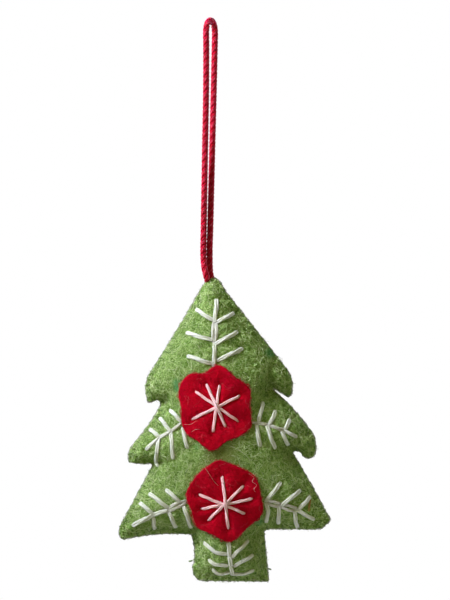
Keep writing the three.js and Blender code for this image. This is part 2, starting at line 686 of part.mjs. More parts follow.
ornament.add(mesh('hanging_cord', loopGeometry(), CORD_RED));
ornament.add(mesh('cord_neck', neckGeometry().translate(0, 0, -BEND_DROP), CORD_RED));
ornament.add(mesh('cord_knot', knotGeometry(0, 0).translate(0, 0, -BEND_DROP), CORD_RED));
tree.add(mesh('front_felt_panel', cutBy(panelGeometry(FRONT), knotRoom), FELT_GREEN));
tree.add(mesh('back_felt_panel', cutBy(panelGeometry(BACK), knotRoom), FELT_GREEN));
tree.add(mesh('wool_stuffing', cutBy(stuffingGeometry(), knotRoom), FILL_WHITE));
tree.add(mesh('upper_flower', flowerGeometry(UPPER_FLOWER), FELT_RED));
tree.add(mesh('lower_flower', flowerGeometry(LOWER_FLOWER), FELT_RED));
tree.add(mesh('upper_star_yarn', starGeometry(UPPER_FLOWER, UPPER_STAR), YARN_WHITE));
tree.add(mesh('lower_star_yarn', starGeometry(LOWER_FLOWER, LOWER_STAR), YARN_WHITE));
for (const [name, sprig] of Object.entries(SPRIGS)) {
  tree.add(mesh(name, sprigGeometry(sprig), YARN_WHITE));
}
tree.add(mesh('seam_thread', seamThreadGeometry(), THREAD_GREEN));

export default ornament;
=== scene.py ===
# %% [markdown]
# A stuffed felt Christmas tree hangs on a loop of red cord. Two tree-shaped felts are overcast along their
# edge around a wool fill. Two felt flowers are held on by yarn stars, and yarn sprigs are sewn beside them.
# The solids come from CAD as a fixed frame in metres. Every piece below takes the place of one of them.

# %% Load the CAD frame
import math
from collections import namedtuple

import bpy
import numpy as np
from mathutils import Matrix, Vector, geometry, noise
from mathutils.bvhtree import BVHTree


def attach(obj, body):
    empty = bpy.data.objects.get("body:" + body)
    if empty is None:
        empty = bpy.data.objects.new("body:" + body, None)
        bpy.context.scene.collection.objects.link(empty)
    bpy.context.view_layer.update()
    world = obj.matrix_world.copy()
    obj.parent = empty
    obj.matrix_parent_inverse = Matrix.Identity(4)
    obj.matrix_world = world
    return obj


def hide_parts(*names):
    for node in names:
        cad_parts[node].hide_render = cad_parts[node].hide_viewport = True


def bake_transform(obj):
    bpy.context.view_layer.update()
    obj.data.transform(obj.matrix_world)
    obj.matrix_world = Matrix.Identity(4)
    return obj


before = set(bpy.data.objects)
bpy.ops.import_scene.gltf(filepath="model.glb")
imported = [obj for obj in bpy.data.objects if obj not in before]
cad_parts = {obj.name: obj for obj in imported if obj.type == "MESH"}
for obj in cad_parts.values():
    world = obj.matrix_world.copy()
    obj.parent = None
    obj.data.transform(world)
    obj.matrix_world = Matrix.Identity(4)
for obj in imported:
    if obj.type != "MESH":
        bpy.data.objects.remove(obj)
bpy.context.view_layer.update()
MM = 0.001
print("CAD pieces:", len(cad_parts))

# %% [markdown]
# The photograph looks straight at the decorated front. One pixel is 0.4 mm at the ornament, so the camera's
# distance follows from the lens and the height of the picture. A short lens would push the crowned front
# outwards against the rim. Rim and stitches were both measured on the flat picture, so a very long lens fits.

# %% Camera
PIXEL = 0.4 * MM
PICTURE_HEIGHT = 600 * PIXEL
PICTURE_MIDDLE = Vector((5.8, 0.0, -110.7)) * MM
LENS = 600.0
SENSOR = 36.0


def in_scene(name, data):
    """A new object around its data, linked to the scene."""
    made = bpy.data.objects.new(name, data)
    bpy.context.scene.collection.objects.link(made)
    return made


camera_data = bpy.data.cameras.new("straight_on")
camera_data.lens = LENS
camera_data.sensor_width = SENSOR
camera = in_scene("straight_on", camera_data)
camera_distance = LENS / SENSOR * PICTURE_HEIGHT
camera.location = PICTURE_MIDDLE - Vector((0, camera_distance, 0))
camera.rotation_euler = (math.pi / 2, 0, 0)
bpy.context.scene.camera = camera
bpy.context.scene.view_settings.view_transform = "Standard"
print("camera stands", round(camera_distance, 3), "m in front")

# %% [markdown]
# Shaders and Geometry Nodes are both trees of nodes, and both know the Math node. A small class that wraps a
# socket lets a formula be written as a Python expression. The other way, naming and linking every node by
# hand, hides the formula behind its wiring.

# %% Sockets as numbers


def pick(sockets, key):
    """A socket by its place, or by its name or identifier among those in use."""
    if isinstance(key, int):
        return sockets[key]
    return next(s for s in sockets if s.enabled and key in (s.name, s.identifier))


class Wire:
    """A socket in a node tree. Sums and products of wires add Math nodes."""

    def __init__(self, graph, socket):
        self.graph = graph
        self.socket = socket

    def out(self, name):
        return Wire(self.graph, pick(self.socket.node.outputs, name))

    def combine(self, operation, first, second):
        return self.graph.node("ShaderNodeMath", {"operation": operation}, {0: first, 1: second})

    def __add__(self, other):
        return self.combine("ADD", self, other)

    def __radd__(self, other):
        return self.combine("ADD", other, self)

    def __sub__(self, other):
        return self.combine("SUBTRACT", self, other)

    def __rsub__(self, other):
        return self.combine("SUBTRACT", other, self)

    def __mul__(self, other):
        return self.combine("MULTIPLY", self, other)

    def __rmul__(self, other):
        return self.combine("MULTIPLY", other, self)

    def __pow__(self, other):
        return self.combine("POWER", self, other)

    def __truediv__(self, other):
        return self.combine("DIVIDE", self, other)

    def __rtruediv__(self, other):
        return self.combine("DIVIDE", other, self)

    def at_least(self, other):
        return self.combine("MAXIMUM", self, other)

    def sine(self):
        return self.graph.node("ShaderNodeMath", {"operation": "SINE"}, {0: self})

    def cosine(self):
        return self.graph.node("ShaderNodeMath", {"operation": "COSINE"}, {0: self})


# %% [markdown]
# Every node that isn't plain maths comes from one method: the node's type, then its settings, then the
# values or links of its sockets. Settings go first, because a setting can change which sockets a node has.
# A colour ramp has no socket for its stops, so they count as a setting.

# %% Node trees


class Graph:
    """A node tree with one method that adds a node, sets it and wires it."""

    def __init__(self, tree):
        self.tree = tree
        tree.nodes.clear()

    def node(self, kind, settings=None, sockets=None, output=0):
        made = self.tree.nodes.new(kind)
        for key, value in (settings or {}).items():
            if key == "stops":
                self.set_stops(made.color_ramp, value)
            else:
                setattr(made, key, value)
        for key, value in (sockets or {}).items():
            socket = pick(made.inputs, key)
            if isinstance(value, Wire):
                self.tree.links.new(value.socket, socket)
            else:
                socket.default_value = value
        return Wire(self, pick(made.outputs, output)) if made.outputs else None

    @staticmethod
    def set_stops(ramp, stops):
        while len(ramp.elements) < len(stops):
            ramp.elements.new(1.0)
        for element, (place, colour) in zip(ramp.elements, stops):
            element.position = place
            element.color = (*colour, 1.0)


def new_material(name):
    material = bpy.data.materials.new(name)
    material.use_nodes = True
    return material, Graph(material.node_tree)


# %% [markdown]
# The picture has a pure white background, light from the upper left and a warm, dim right side. The world is
# white to the camera and a dim, warm light to the felt, so the background never comes from more light on the
# ornament. The key lamp has a narrow beam aimed above the tree, so the trunk is dimmer than the tip. The
# floor lies well below the picture, where the hanging tree throws only a faint shadow on it.

# %% Stage and light
FLOOR_DROP = 0.34
FLOOR_RADIUS = 0.6
FLOOR_SIDES = 96
FLOOR_GLOW = 0.75
FLOOR_PALE = (0.9, 0.9, 0.9, 1.0)
WHITE = (1.0, 1.0, 1.0, 1.0)
DAYLIGHT = (0.97, 1.0, 1.36)
WARM = (1.0, 0.97, 0.48)
ROOM_LIGHT = 0.062
ORNAMENT_MIDDLE = (0.0, 0.0, -0.15)
KEY_AIM = (0.0, 0.0, -0.05)
KEY_BEAM = math.radians(50)


def seen_directly(graph):
    path = graph.node("ShaderNodeLightPath")
    seen = path.out("Is Camera Ray") + path.out("Is Glossy Ray") + path.out("Is Transmission Ray")
    return graph.node("ShaderNodeClamp", {}, {"Value": seen})


def light_the_room():
    world = bpy.data.worlds.new("white_room")
    world.use_nodes = True
    bpy.context.scene.world = world
    graph = Graph(world.node_tree)
    dim = graph.node("ShaderNodeBackground", {}, {"Color": (*WARM, 1.0), "Strength": ROOM_LIGHT})
    white = graph.node("ShaderNodeBackground", {}, {"Color": WHITE, "Strength": 1.0})
    mixed = graph.node("ShaderNodeMixShader", {}, {0: seen_directly(graph), 1: dim, 2: white})
    graph.node("ShaderNodeOutputWorld", {}, {"Surface": mixed})


def lay_the_floor():
    bpy.ops.mesh.primitive_circle_add(
        vertices=FLOOR_SIDES, radius=FLOOR_RADIUS, fill_type="NGON", location=(0, 0, -FLOOR_DROP)
    )
    floor = bpy.context.object
    floor.name = "pale_floor"
    material, graph = new_material("pale_floor")
    matt = graph.node("ShaderNodeBsdfDiffuse", {}, {"Color": FLOOR_PALE})
    white = graph.node("ShaderNodeEmission", {}, {"Color": WHITE, "Strength": 1.0})
    glow = FLOOR_GLOW * seen_directly(graph)
    mixed = graph.node("ShaderNodeMixShader", {}, {0: glow, 1: matt, 2: white})
    graph.node("ShaderNodeOutputMaterial", {}, {"Surface": mixed})
    floor.data.materials.append(material)


def hang_lamp(name, place, watts, size, colour, aim=ORNAMENT_MIDDLE, beam=math.pi):
    lamp = bpy.data.lights.new(name, "AREA")
    lamp.color = colour
    lamp.energy = watts
    lamp.size = size
    lamp.spread = beam
    holder = in_scene(name, lamp)
    holder.location = place
    holder.rotation_euler = (Vector(aim) - holder.location).to_track_quat("-Z", "Y").to_euler()


light_the_room()
lay_the_floor()
hang_lamp(
    "key_upper_left", (-0.57, -0.33, 0.38), watts=1.26, size=0.25, colour=DAYLIGHT, aim=KEY_AIM, beam=KEY_BEAM
)
hang_lamp("fill_front", (0.1, -1.0, 0.1), watts=2.0, size=0.5, colour=WARM)
hang_lamp("edge_right", (0.85, 0.45, 0.3), watts=5.0, size=0.5, colour=DAYLIGHT)
print("stage and three lamps are set")

# %% [markdown]
# The cord is one length: from a knot inside the tip it runs up the left strand, over the hook and down the
# right strand to the same knot. A curve with a bevel would give a plain round hose. The real cord is two
# plies laid round each other, which the eye reads by their ridges. So one path is drawn through a few points
# first, and both plies will wind round it.

# %% The cord's path
LOOP_RISE = 7.9
BEND_DROP = 100.3
BIGHT_DEPTH = 3.55
STRAND_FOOT = BEND_DROP - LOOP_RISE
SPAN_SAMPLES = 20
LEFT_STRAND = [
    (-2.85, -0.7, 1), (-2.85, -0.7, 0.97), (-2.75, -0.8, 0.905), (-2.55, -1.1, 0.77), (-2.3, -1.7, 0.61),
    (-2.05, -2.5, 0.455), (-1.8, -3.3, 0.3), (-1.7, -3.9, 0.16), (-1.7, -4.3, 0.05),
]
BIGHT = [
    (-1.76, -4.36, -3.55), (-1.52, -3.77, -1.2), (-0.88, -2.18, 0.52), (0, 0, 1.15),
    (0.88, 2.18, 0.52), (1.52, 3.77, -1.2), (1.76, 4.36, -3.55),
]
RIGHT_STRAND = [
    (1.7, 4.3, 0.05), (1.5, 3.9, 0.16), (1.2, 3.3, 0.3), (0.85, 2.5, 0.455), (0.5, 1.7, 0.61),
    (0.15, 1.1, 0.77), (-0.15, 0.9, 0.905), (-0.35, 1.0, 0.97), (-0.35, 1.0, 1),
]
LEFT_END = [
    (0.9, 0, -14.7), (-0.6, 0, -9.7), (-1.1, 0.1, -5.0), (-1.2, -0.2, -3.0), (-1.25, -1.3, -2.2),
    (-1.5, -2.1, -1.5), (-1.8, -2.35, -0.3), (-2.1, -2.2, 1.0), (-2.45, -1.7, 2.6), (-2.72, -1.1, 5.2),
]
RIGHT_END = [
    (-0.35, 1.0, 5.6), (-0.3, 0.9, 3.2), (-0.1, 0.5, 0.4), (0.4, 0, -1.9), (0.75, 0, -4.7), (1, 0, -9.7),
    (1.5, 0, -14.7),
]


def on_strand(points):
    drop = STRAND_FOOT - BIGHT_DEPTH
    return [(x, y, -BIGHT_DEPTH - share * drop) for x, y, share in points]


def below_loop(points):
    return [(x, y, z - BEND_DROP) for x, y, z in points]


def lengths_along(points):
    steps = np.linalg.norm(np.diff(points, axis=0), axis=1)
    return np.concatenate([[0.0], np.cumsum(steps)])


def evenly(points, spacing):
    """The same line with points about one spacing apart."""
    along = lengths_along(points)
    count = max(2, round(along[-1] / spacing) + 1)
    at = np.linspace(0, along[-1], count)
    return np.stack([np.interp(at, along, column) for column in points.T], axis=1)


def smooth_line(points, spacing):
    """A centripetal Catmull-Rom curve through the points."""
    points = np.asarray(points, float)
    padded = np.vstack([2 * points[0] - points[1], points, 2 * points[-1] - points[-2]])
    fine = []
    for p0, p1, p2, p3 in zip(padded, padded[1:], padded[2:], padded[3:]):
        k1, k2, k3 = np.cumsum([np.linalg.norm(b - a) ** 0.5 for a, b in ((p0, p1), (p1, p2), (p2, p3))])
        t = np.linspace(k1, k2, SPAN_SAMPLES, endpoint=False)[:, None]
        a = ((k1 - t) * p0 + t * p1) / k1
        b = ((k2 - t) * p1 + (t - k1) * p2) / (k2 - k1)
        c = ((k3 - t) * p2 + (t - k2) * p3) / (k3 - k2)
        d = ((k2 - t) * a + t * b) / k2
        e = ((k3 - t) * b + (t - k1) * c) / (k3 - k1)
        fine.append(((k2 - t) * d + (t - k1) * e) / (k2 - k1))
    fine.append(points[-1:])
    return evenly(np.vstack(fine), spacing)


CORD_STEP = 0.4
cord_route = [
    *below_loop(LEFT_END), *on_strand(LEFT_STRAND), *BIGHT, *on_strand(RIGHT_STRAND), *below_loop(RIGHT_END)
]
cord_path = smooth_line(cord_route, CORD_STEP)
cord_along = lengths_along(cord_path)
print("cord from knot to knot:", round(float(cord_along[-1]), 1), "mm")

# %% [markdown]
# To wind something round a path, each point of it needs two directions square to the path. A frame that is
# worked out afresh at each point may jump where the path bends, so this one is carried from point to point
# and only tipped with the bend. The other helpers make an object from points and faces, and renumber or turn
# over faces, which most pieces below need.

# %% Frames and meshes
FIRST_WAY = (1.0, 0.3, 0.1)


def carried_frames(path):
    """Two directions square to a path that don't spin along it."""
    tangents = np.gradient(path, axis=0)
    tangents /= np.linalg.norm(tangents, axis=1)[:, None]
    first = np.empty_like(path)
    way = np.array(FIRST_WAY)
    for step, tangent in enumerate(tangents):
        way = way - tangent * (way @ tangent)
        way = way / np.linalg.norm(way)
        first[step] = way
    return first, np.cross(tangents, first)


def mesh_object(name, points_mm, faces, material):
    mesh = bpy.data.meshes.new(name)
    mesh.from_pydata([tuple(point) for point in np.asarray(points_mm) * MM], [], faces)
    mesh.shade_smooth()
    mesh.materials.append(material)
    return in_scene(name, mesh)


def shifted(faces, by):
    """Faces with the number of every corner moved up."""
    return [tuple(by + corner for corner in face) for face in faces]


def turned_over(faces):
    """Faces that look the other way."""
    return [tuple(reversed(face)) for face in faces]


cord_frames = carried_frames(cord_path)
print("frames carried along", len(cord_path), "points of the cord")

# %% [markdown]
# Two soft plies press each other flat and make a cord of 2.3 mm, so each is an oval tube, wider across than
# outwards. They wind like the middle bar of a Z, one full turn in 6.2 mm, as the ridges in the photograph do.
# A Screw modifier winds only round a straight line, so rings of points are set along the path, each turned a
# little further. The cord is cut into a loop, a neck and the hidden ends, and the twist runs on from piece to
# piece.

# %% Twisted cord
CORD_PLIES = 2
PLY_OUT = 0.79
PLY_ACROSS = 1.15
PLY_OFFSET = 0.47
CORD_TURN = 6.2
PLY_SIDES = 12


def ply_tubes(path, along, frames, size):
    """Points, faces and thread coordinates of oval plies that wind round a path."""
    first, second = frames
    points, faces, thread = [], [], []
    steps, sides = len(path), PLY_SIDES
    ring = (2 * np.pi * np.arange(sides) / sides)[None, :, None]
    for ply in range(CORD_PLIES):
        turned = (2 * np.pi * (along / CORD_TURN + ply / CORD_PLIES))[:, None]
        outward = (np.cos(turned) * first + np.sin(turned) * second)[:, None]
        across = (np.cos(turned) * second - np.sin(turned) * first)[:, None]
        reach = size * (PLY_OFFSET + PLY_OUT * np.cos(ring))
        base = sum(len(part) for part in points)
        oval = reach * outward + size * PLY_ACROSS * np.sin(ring) * across
        points.append((path[:, None] + oval).reshape(-1, 3))
        for step in range(steps - 1):
            for side in range(sides):
                here = base + step * sides
                there = here + sides
                after = (side + 1) % sides
                faces.append((here + side, here + after, there + after, there + side))
                u0, u1 = side / sides, (side + 1) / sides
                v0, v1 = along[step], along[step + 1]
                thread.extend([(u0, v0), (u1, v0), (u1, v1), (u0, v1)])
        faces.append(tuple(base + side for side in reversed(range(sides))))
        faces.append(tuple(base + (steps - 1) * sides + side for side in range(sides)))
        thread.extend([(0.5, along[0])] * sides)
        thread.extend([(0.5, along[-1])] * sides)
    return np.vstack(points), faces, thread


def cord_between(start, end):
    """The cord from one length along it to another: its points, their lengths and their frames."""
    part = slice(np.searchsorted(cord_along, start), np.searchsorted(cord_along, end) + 1)
    return cord_path[part], cord_along[part], [each[part] for each in cord_frames]


def twisted_piece(name, stretches, size=1.0):
    """One mesh of twisted stretches of cord, with a thread map for its material."""
    all_points, all_faces, all_thread = [], [], []
    for path, along, frames in stretches:
        points, faces, thread = ply_tubes(path, along, frames, size)
        base = sum(len(each) for each in all_points)
        all_points.append(points)
        all_faces.extend(shifted(faces, base))
        all_thread.extend(thread)
    made = mesh_object(name, np.vstack(all_points), all_faces, cord_look)
    layer = made.data.uv_layers.new(name="thread")
    layer.data.foreach_set("uv", np.asarray(all_thread, np.float32).ravel())
    return made


print("the plies make", round(float(cord_along[-1]) / CORD_TURN, 1), "turns")

# %% [markdown]
# The cord is spun from many fine crimson yarns with a little sheen. The plies carry a thread map: u runs
# round the ply and v along it in millimetres, so thin yarn lines can lean along each ply. A noise in space
# would ignore the winding. Each ply has a narrow pale ridge along its outermost line, which is a painted
# highlight, and a lighter red in the hollows between the plies, which is painted light against their shade.

# %% Cord material
# The hollow colour is painted light, a lighter red against the shade between the plies. The crest colour is a
# painted highlight along the outermost line of each ply.
CORD_HOLLOW_PAINTED_LIGHT = (0.47, 0.0, 0.014)
CORD_RED = (0.33, 0.001, 0.011)
CORD_PAINTED_HIGHLIGHT = (0.46, 0.04, 0.065)
CORD_YARNS = 7.0
CORD_YARN_LEAN = 0.55
CORD_LINT = 2600.0
CREST_HIGHLIGHT_SHARPNESS = 10.0
RIDGE_SHARE = 0.16
YARN_SHARE = 0.06
CREST_HIGHLIGHT_SHARE = 0.26
LINT_SHARE = 0.36
HOLLOW_HEIGHT = 0.2
CORD_ROUGH = 0.78
YARN_SHINE = 0.2
CORD_RELIEF = 0.08 * MM
CORD_SHEEN = 0.05
CORD_SCATTER = 0.9
CORD_DEPTH = 1.5 * MM
FELT_DEPTH = 0.7 * MM
CLOTH_GLOSS = 0.06
SHEEN_ROUGH = 0.6
FULL_TURN = 2 * math.pi


def object_place(graph):
    return graph.node("ShaderNodeTexCoord", {}, {}, "Object")


def grain(graph, place, scale, detail):
    """A noise in space, from 0 to 1."""
    return graph.node("ShaderNodeTexNoise", {}, {"Vector": place, "Scale": scale, "Detail": detail})


def ramp(graph, value, stops):
    return graph.node("ShaderNodeValToRGB", {"stops": stops}, {0: value})


def cloth_surface(graph, colour, roughness, height, relief, sheen=0.0, scatter=0.0, depth=FELT_DEPTH):
    """A matt cloth with a relief in metres, a fixed sheen and a share of light that goes through the wool."""
    bumps = graph.node("ShaderNodeBump", {}, {"Strength": 1.0, "Distance": relief, "Height": height})
    shader = graph.node("ShaderNodeBsdfPrincipled", {}, {
        "Base Color": colour,
        "Roughness": roughness,
        "Normal": bumps,
        "Sheen Weight": sheen,
        "Sheen Roughness": SHEEN_ROUGH,
        "Specular IOR Level": CLOTH_GLOSS,
        "Subsurface Weight": scatter,
        "Subsurface Radius": (1.0, 1.0, 1.0),
        "Subsurface Scale": depth,
    })
    graph.node("ShaderNodeOutputMaterial", {}, {"Surface": shader})


def cord_material():
    material, graph = new_material("red_twisted_cord")
    thread = graph.node("ShaderNodeUVMap", {"uv_map": "thread"})
    around = graph.node("ShaderNodeSeparateXYZ", {}, {0: thread}, "X")
    wave = ((around * CORD_YARNS + around.out("Y") * CORD_YARN_LEAN) * FULL_TURN).sine()
    lint = grain(graph, object_place(graph), CORD_LINT, detail=3.0)
    ridge = (around * FULL_TURN).cosine()
    # A painted highlight along the outermost line of each ply, which also raises the bump there.
    crest = ridge.at_least(0.0) ** CREST_HIGHLIGHT_SHARPNESS
    height = ridge * RIDGE_SHARE + wave * YARN_SHARE + crest * CREST_HIGHLIGHT_SHARE + lint * LINT_SHARE + HOLLOW_HEIGHT
    colour = ramp(graph, height, [(0.15, CORD_HOLLOW_PAINTED_LIGHT), (0.5, CORD_RED), (0.85, CORD_PAINTED_HIGHLIGHT)])
    roughness = CORD_ROUGH - YARN_SHINE * wave
    cloth_surface(graph, colour, roughness, height, CORD_RELIEF, CORD_SHEEN, CORD_SCATTER, CORD_DEPTH)
    return material


cord_look = cord_material()
print("cord material of", len(cord_look.node_tree.nodes), "nodes")

# %% [markdown]
# The loop turns on itself where it meets the neck, and the neck bends where the tree swings.

# %% Cord pieces
NECK_DEPTH = 3.0
HOOK_END = -STRAND_FOOT
NECK_END = -BEND_DROP - NECK_DEPTH
top = int(np.argmax(cord_path[:, 2]))


def length_where(height, rising):
    """The length along the cord at which it passes a height, on the rising or the falling strand."""
    side = slice(0, top) if rising else slice(top, len(cord_path))
    nearest = int(np.argmin(np.abs(cord_path[side, 2] - height)))
    return cord_along[side][nearest]


loop_from, loop_to = length_where(HOOK_END, True), length_where(HOOK_END, False)
neck_from, neck_to = length_where(NECK_END, True), length_where(NECK_END, False)
whole_loop = cord_between(loop_from, loop_to)
two_necks = [cord_between(neck_from, loop_from), cord_between(loop_to, neck_to)]
two_ends = [cord_between(0.0, neck_from), cord_between(neck_to, cord_along[-1])]
cord_loop = twisted_piece("cord_loop", [whole_loop])
cord_neck = twisted_piece("cord_neck_strands", two_necks)
cord_ends = twisted_piece("cord_ends", two_ends)
loop_path = whole_loop[0] * MM

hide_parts("hanging_cord")
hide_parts("cord_neck")
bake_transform(cord_loop)
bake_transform(cord_neck)

# %% [markdown]
# Inside the tip the two ends are tied together, so that the loop can't pull out. Nobody sees the knot, yet it
# is there on the real ornament. A trefoil is the curve of an overhand knot, so one more twisted tube along it
# makes the knot without any modelling by hand.

# %% Knot inside the tip
KNOT_AT = (1.2, 0.0, -116.4)
KNOT_RADIUS = 1.5
TREFOIL_RADIUS = 2.2
KNOT_SAMPLES = 90
KNOT_TIGHT = 0.62


def overhand_line():
    t = np.linspace(0, 2 * np.pi, KNOT_SAMPLES)
    across = np.sin(t) + 2 * np.sin(2 * t)
    up = np.cos(t) - 2 * np.cos(2 * t)
    trefoil = np.stack([across, -np.sin(3 * t), up], axis=1)
    return trefoil * (KNOT_RADIUS / TREFOIL_RADIUS) + np.array(KNOT_AT)


knot_line = evenly(overhand_line(), CORD_STEP)
knot_along = lengths_along(knot_line)
cord_knot = twisted_piece("cord_knot_tied", [(knot_line, knot_along, carried_frames(knot_line))], KNOT_TIGHT)
for piece in (cord_ends, cord_knot):
    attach(piece, "tree")
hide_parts("cord_knot")
print("knot tied from", round(float(knot_along[-1]), 1), "mm of cord")

# %% [markdown]
# Both felts are cut from one paper pattern: a tip, three tiers a side, a trunk. Each corner has a place, the
# length of its curve and the bulge of the edge above it, in millimetres from the tip. Tracing hundreds of
# outline points would be longer and no truer, since the edges are slightly bowed hand cuts.

# %% Paper pattern
TIP = np.array([1.4, -101.5])
Corner = namedtuple("Corner", "x z round bow")
LEFT_CORNERS = [
    Corner(-5.3, -4.6, 0, 0), Corner(-28.1, -42.3, 4.3, -0.3), Corner(-26.4, -51.2, 2.4, 0),
    Corner(-22.9, -48.8, 1.2, 0), Corner(-21.0, -50.6, 1, 0), Corner(-34.6, -69.8, 2.9, -0.5),
    Corner(-34.3, -74.3, 1.4, 0), Corner(-24.3, -74.7, 1.6, 0.2), Corner(-38.4, -101, 2.1, 0),
    Corner(-37.5, -105.1, 1.9, 0), Corner(-8.6, -102.7, 2.1, -0.9), Corner(-8.7, -121.6, 5.5, -0.8),
]
RIGHT_CORNERS = [
    Corner(4.5, -5.3, 0, 0), Corner(31.9, -40.2, 4.6, 0), Corner(31.1, -49, 3.3, 0),
    Corner(22.6, -43.8, 1.5, 0), Corner(41.3, -63.9, 5.1, 0.7), Corner(40.6, -72.4, 3, 0),
    Corner(36, -72.6, 1.6, 0), Corner(34.3, -69.5, 0.9, 0), Corner(31.4, -69.9, 0.8, 0),
    Corner(44.7, -93.4, 1, 0.2), Corner(47, -97.2, 1.2, 0), Corner(42.8, -101, 1.6, 0),
    Corner(20, -100.9, 1.6, 0), Corner(22.1, -121.9, 1.4, 0),
]
RIM_STEP = 0.9
BEND_SAMPLES = 24


def bent(start, control, end):
    t = np.linspace(0, 1, BEND_SAMPLES)[:, None]
    return (1 - t) ** 2 * start + 2 * t * (1 - t) * control + t ** 2 * end


def towards(start, end, length):
    return start + (end - start) * (length / np.linalg.norm(end - start))


def side_line(corners, outward):
    """One side of the pattern from the shoulder down to the foot."""
    places = [np.array([corner.x, corner.z]) for corner in corners]
    places.append(np.array([0.0, places[-1][1]]))
    start = places[0]
    pieces = []
    for key in range(1, len(corners)):
        arrive = towards(places[key], places[key - 1], corners[key].round)
        leave = towards(places[key], places[key + 1], corners[key].round)
        way = (arrive - start) / np.linalg.norm(arrive - start)
        bulge = 2 * outward * corners[key].bow * np.array([way[1], -way[0]])
        pieces.append(bent(start, 0.5 * (start + arrive) + bulge, arrive)[:-1])
        pieces.append(bent(arrive, places[key], leave)[:-1])
        start = leave
    return np.vstack([*pieces, start])


def pattern_outline():
    left = side_line(LEFT_CORNERS, 1)
    right = side_line(RIGHT_CORNERS, -1)
    tip = bent(left[0], np.array([0.0, -left[0][1]]), right[0])
    loop = np.vstack([tip[:-1], right, left[::-1]])
    return evenly(loop, RIM_STEP)[:-1] + TIP


outline = pattern_outline()
rim_count = len(outline)
rim_way = np.roll(outline, -1, axis=0) - np.roll(outline, 1, axis=0)
rim_way /= np.linalg.norm(rim_way, axis=1)[:, None]
rim_inward = np.stack([rim_way[:, 1], -rim_way[:, 0]], axis=1)
nexts = np.roll(outline, -1, axis=0)

# %% [markdown]
# The felt needs an even net of small triangles: rows of points that follow the rim, then a lattice of
# equal triangles, joined by a Delaunay triangulation that keeps the outline. A grid clipped at the outline
# would leave steps along the edges, which the overcast rim would show.

# %% Net of felt triangles
NET_STEP = 1.25
RIM_ROWS = (0.6, 1.3, 2.1)
ROW_ROOM = 0.9
LATTICE_ROOM = 0.7
SAME_POINT = 1e-4
TINY = 1e-9


def distance_to_outline(points):
    ends = nexts - outline
    lengths = np.sum(ends ** 2, axis=1)
    offset = points[:, None] - outline[None]
    share = np.clip(np.sum(offset * ends, axis=2) / lengths, 0, 1)
    return np.min(np.linalg.norm(offset - share[..., None] * ends, axis=2), axis=1)


def inside_outline(points):
    x, z = points[:, :1], points[:, 1:]
    crosses = (outline[:, 1] > z) != (nexts[:, 1] > z)
    rise = nexts[:, 1] - outline[:, 1]
    slope = (nexts[:, 0] - outline[:, 0]) / np.where(rise == 0, TINY, rise)
    at = outline[:, 0] + slope * (z - outline[:, 1])
    return np.sum(crosses & (x < at), axis=1) % 2 == 1


def felt_net():
    rows = [outline]
    for inset in RIM_ROWS:
        row = outline + inset * rim_inward
        rows.append(row[(distance_to_outline(row) > ROW_ROOM * inset) & inside_outline(row)])
    low, high = outline.min(axis=0), outline.max(axis=0)
    lattice = []
    for line, z in enumerate(np.arange(low[1], high[1], NET_STEP * math.sqrt(0.75))):
        first = low[0] + 0.5 * NET_STEP * (line % 2)
        lattice.extend((x, z) for x in np.arange(first, high[0], NET_STEP))
    lattice = np.array(lattice)
    deep = distance_to_outline(lattice) > RIM_ROWS[-1] + LATTICE_ROOM * NET_STEP
    rows.append(lattice[deep & inside_outline(lattice)])
    points = np.vstack(rows)
    edges = [(step, (step + 1) % rim_count) for step in range(rim_count)]
    net = geometry.delaunay_2d_cdt([Vector(point) for point in points], edges, [], 1, SAME_POINT)
    return np.array([tuple(point) for point in net[0]]), [tuple(face) for face in net[2]]


net_points, net_faces = felt_net()
print("felt net:", len(net_points), "points,", len(net_faces), "triangles")

# %% [markdown]
# The fill swells the tree most where it is widest and hardly at all in the narrow tiers. A distance that
# adds up the pull of the whole rim gives that crown without creases: beside a straight edge it is the plain
# distance, and where edges meet it rounds off. Uneven lumps of fill are a low noise on top.

# %% Crown of the stuffed tree
SWELL = 12.2
SWELL_ROUND = 7.2
SEAM_GAP = 0.04
FELT = 1.8
RIM_FELT = 1.35
RIM_FLAT = 0.9
RIM_THINNING = 1.5
LUMP = 0.45
LUMP_SIZE = 17.0
LUMP_FADE = 6.0
FRONT_SEED = 0.3
BACK_SEED = 7.7
CREASE_FLOOR = 1.5
CREASE_WIDTH = 1.35
CREASE_RISE = 0.7
CREASE_FADE = 1.2
NEAREST_EDGE = 1e-3
NOTCH_CREASES = [
    ((22.4, -44.5), (22.0, -35.5), 6.0), ((31.7, -69.1), (24.6, -66.0), 2.2),
    ((-21.0, -50.6), (-15.6, -45.2), 1.5), ((-24.3, -74.6), (-17.4, -73.4), 1.3),
    ((-9.0, -102.7), (-5.0, -98.2), 1.0), ((20.0, -100.9), (15.4, -97.2), 1.0),
]


def pulled_depth(points):
    ends = nexts - outline
    lengths = np.linalg.norm(ends, axis=1)
    offset = points[:, None] - outline[None]
    ahead = np.sum(offset * ends, axis=2) / lengths
    aside = np.abs(offset[..., 0] * ends[:, 1] - offset[..., 1] * ends[:, 0]) / lengths
    aside = np.maximum(aside, NEAREST_EDGE)

    def reach(distance):
        return distance / (aside ** 2 * np.hypot(distance, aside))

    pull = np.sum(reach(ahead) + reach(lengths - ahead), axis=1)
    return np.sqrt(2 / np.maximum(pull, TINY))


def distance_to_line(points, start, end):
    start, end = np.asarray(start, float), np.asarray(end, float)
    way = end - start
    share = np.clip((points - start) @ way / (way @ way), 0, 1)
    return np.linalg.norm(points - start - share[:, None] * way, axis=1), share


def fades(away, width):
    """A share that is 1 at a place and falls to nothing within about twice a width."""
    return np.exp(-((away / width) ** 2))


def lumps(points, size, seed):
    return np.array([noise.noise(Vector((x / size, seed, z / size))) for x, z in points])


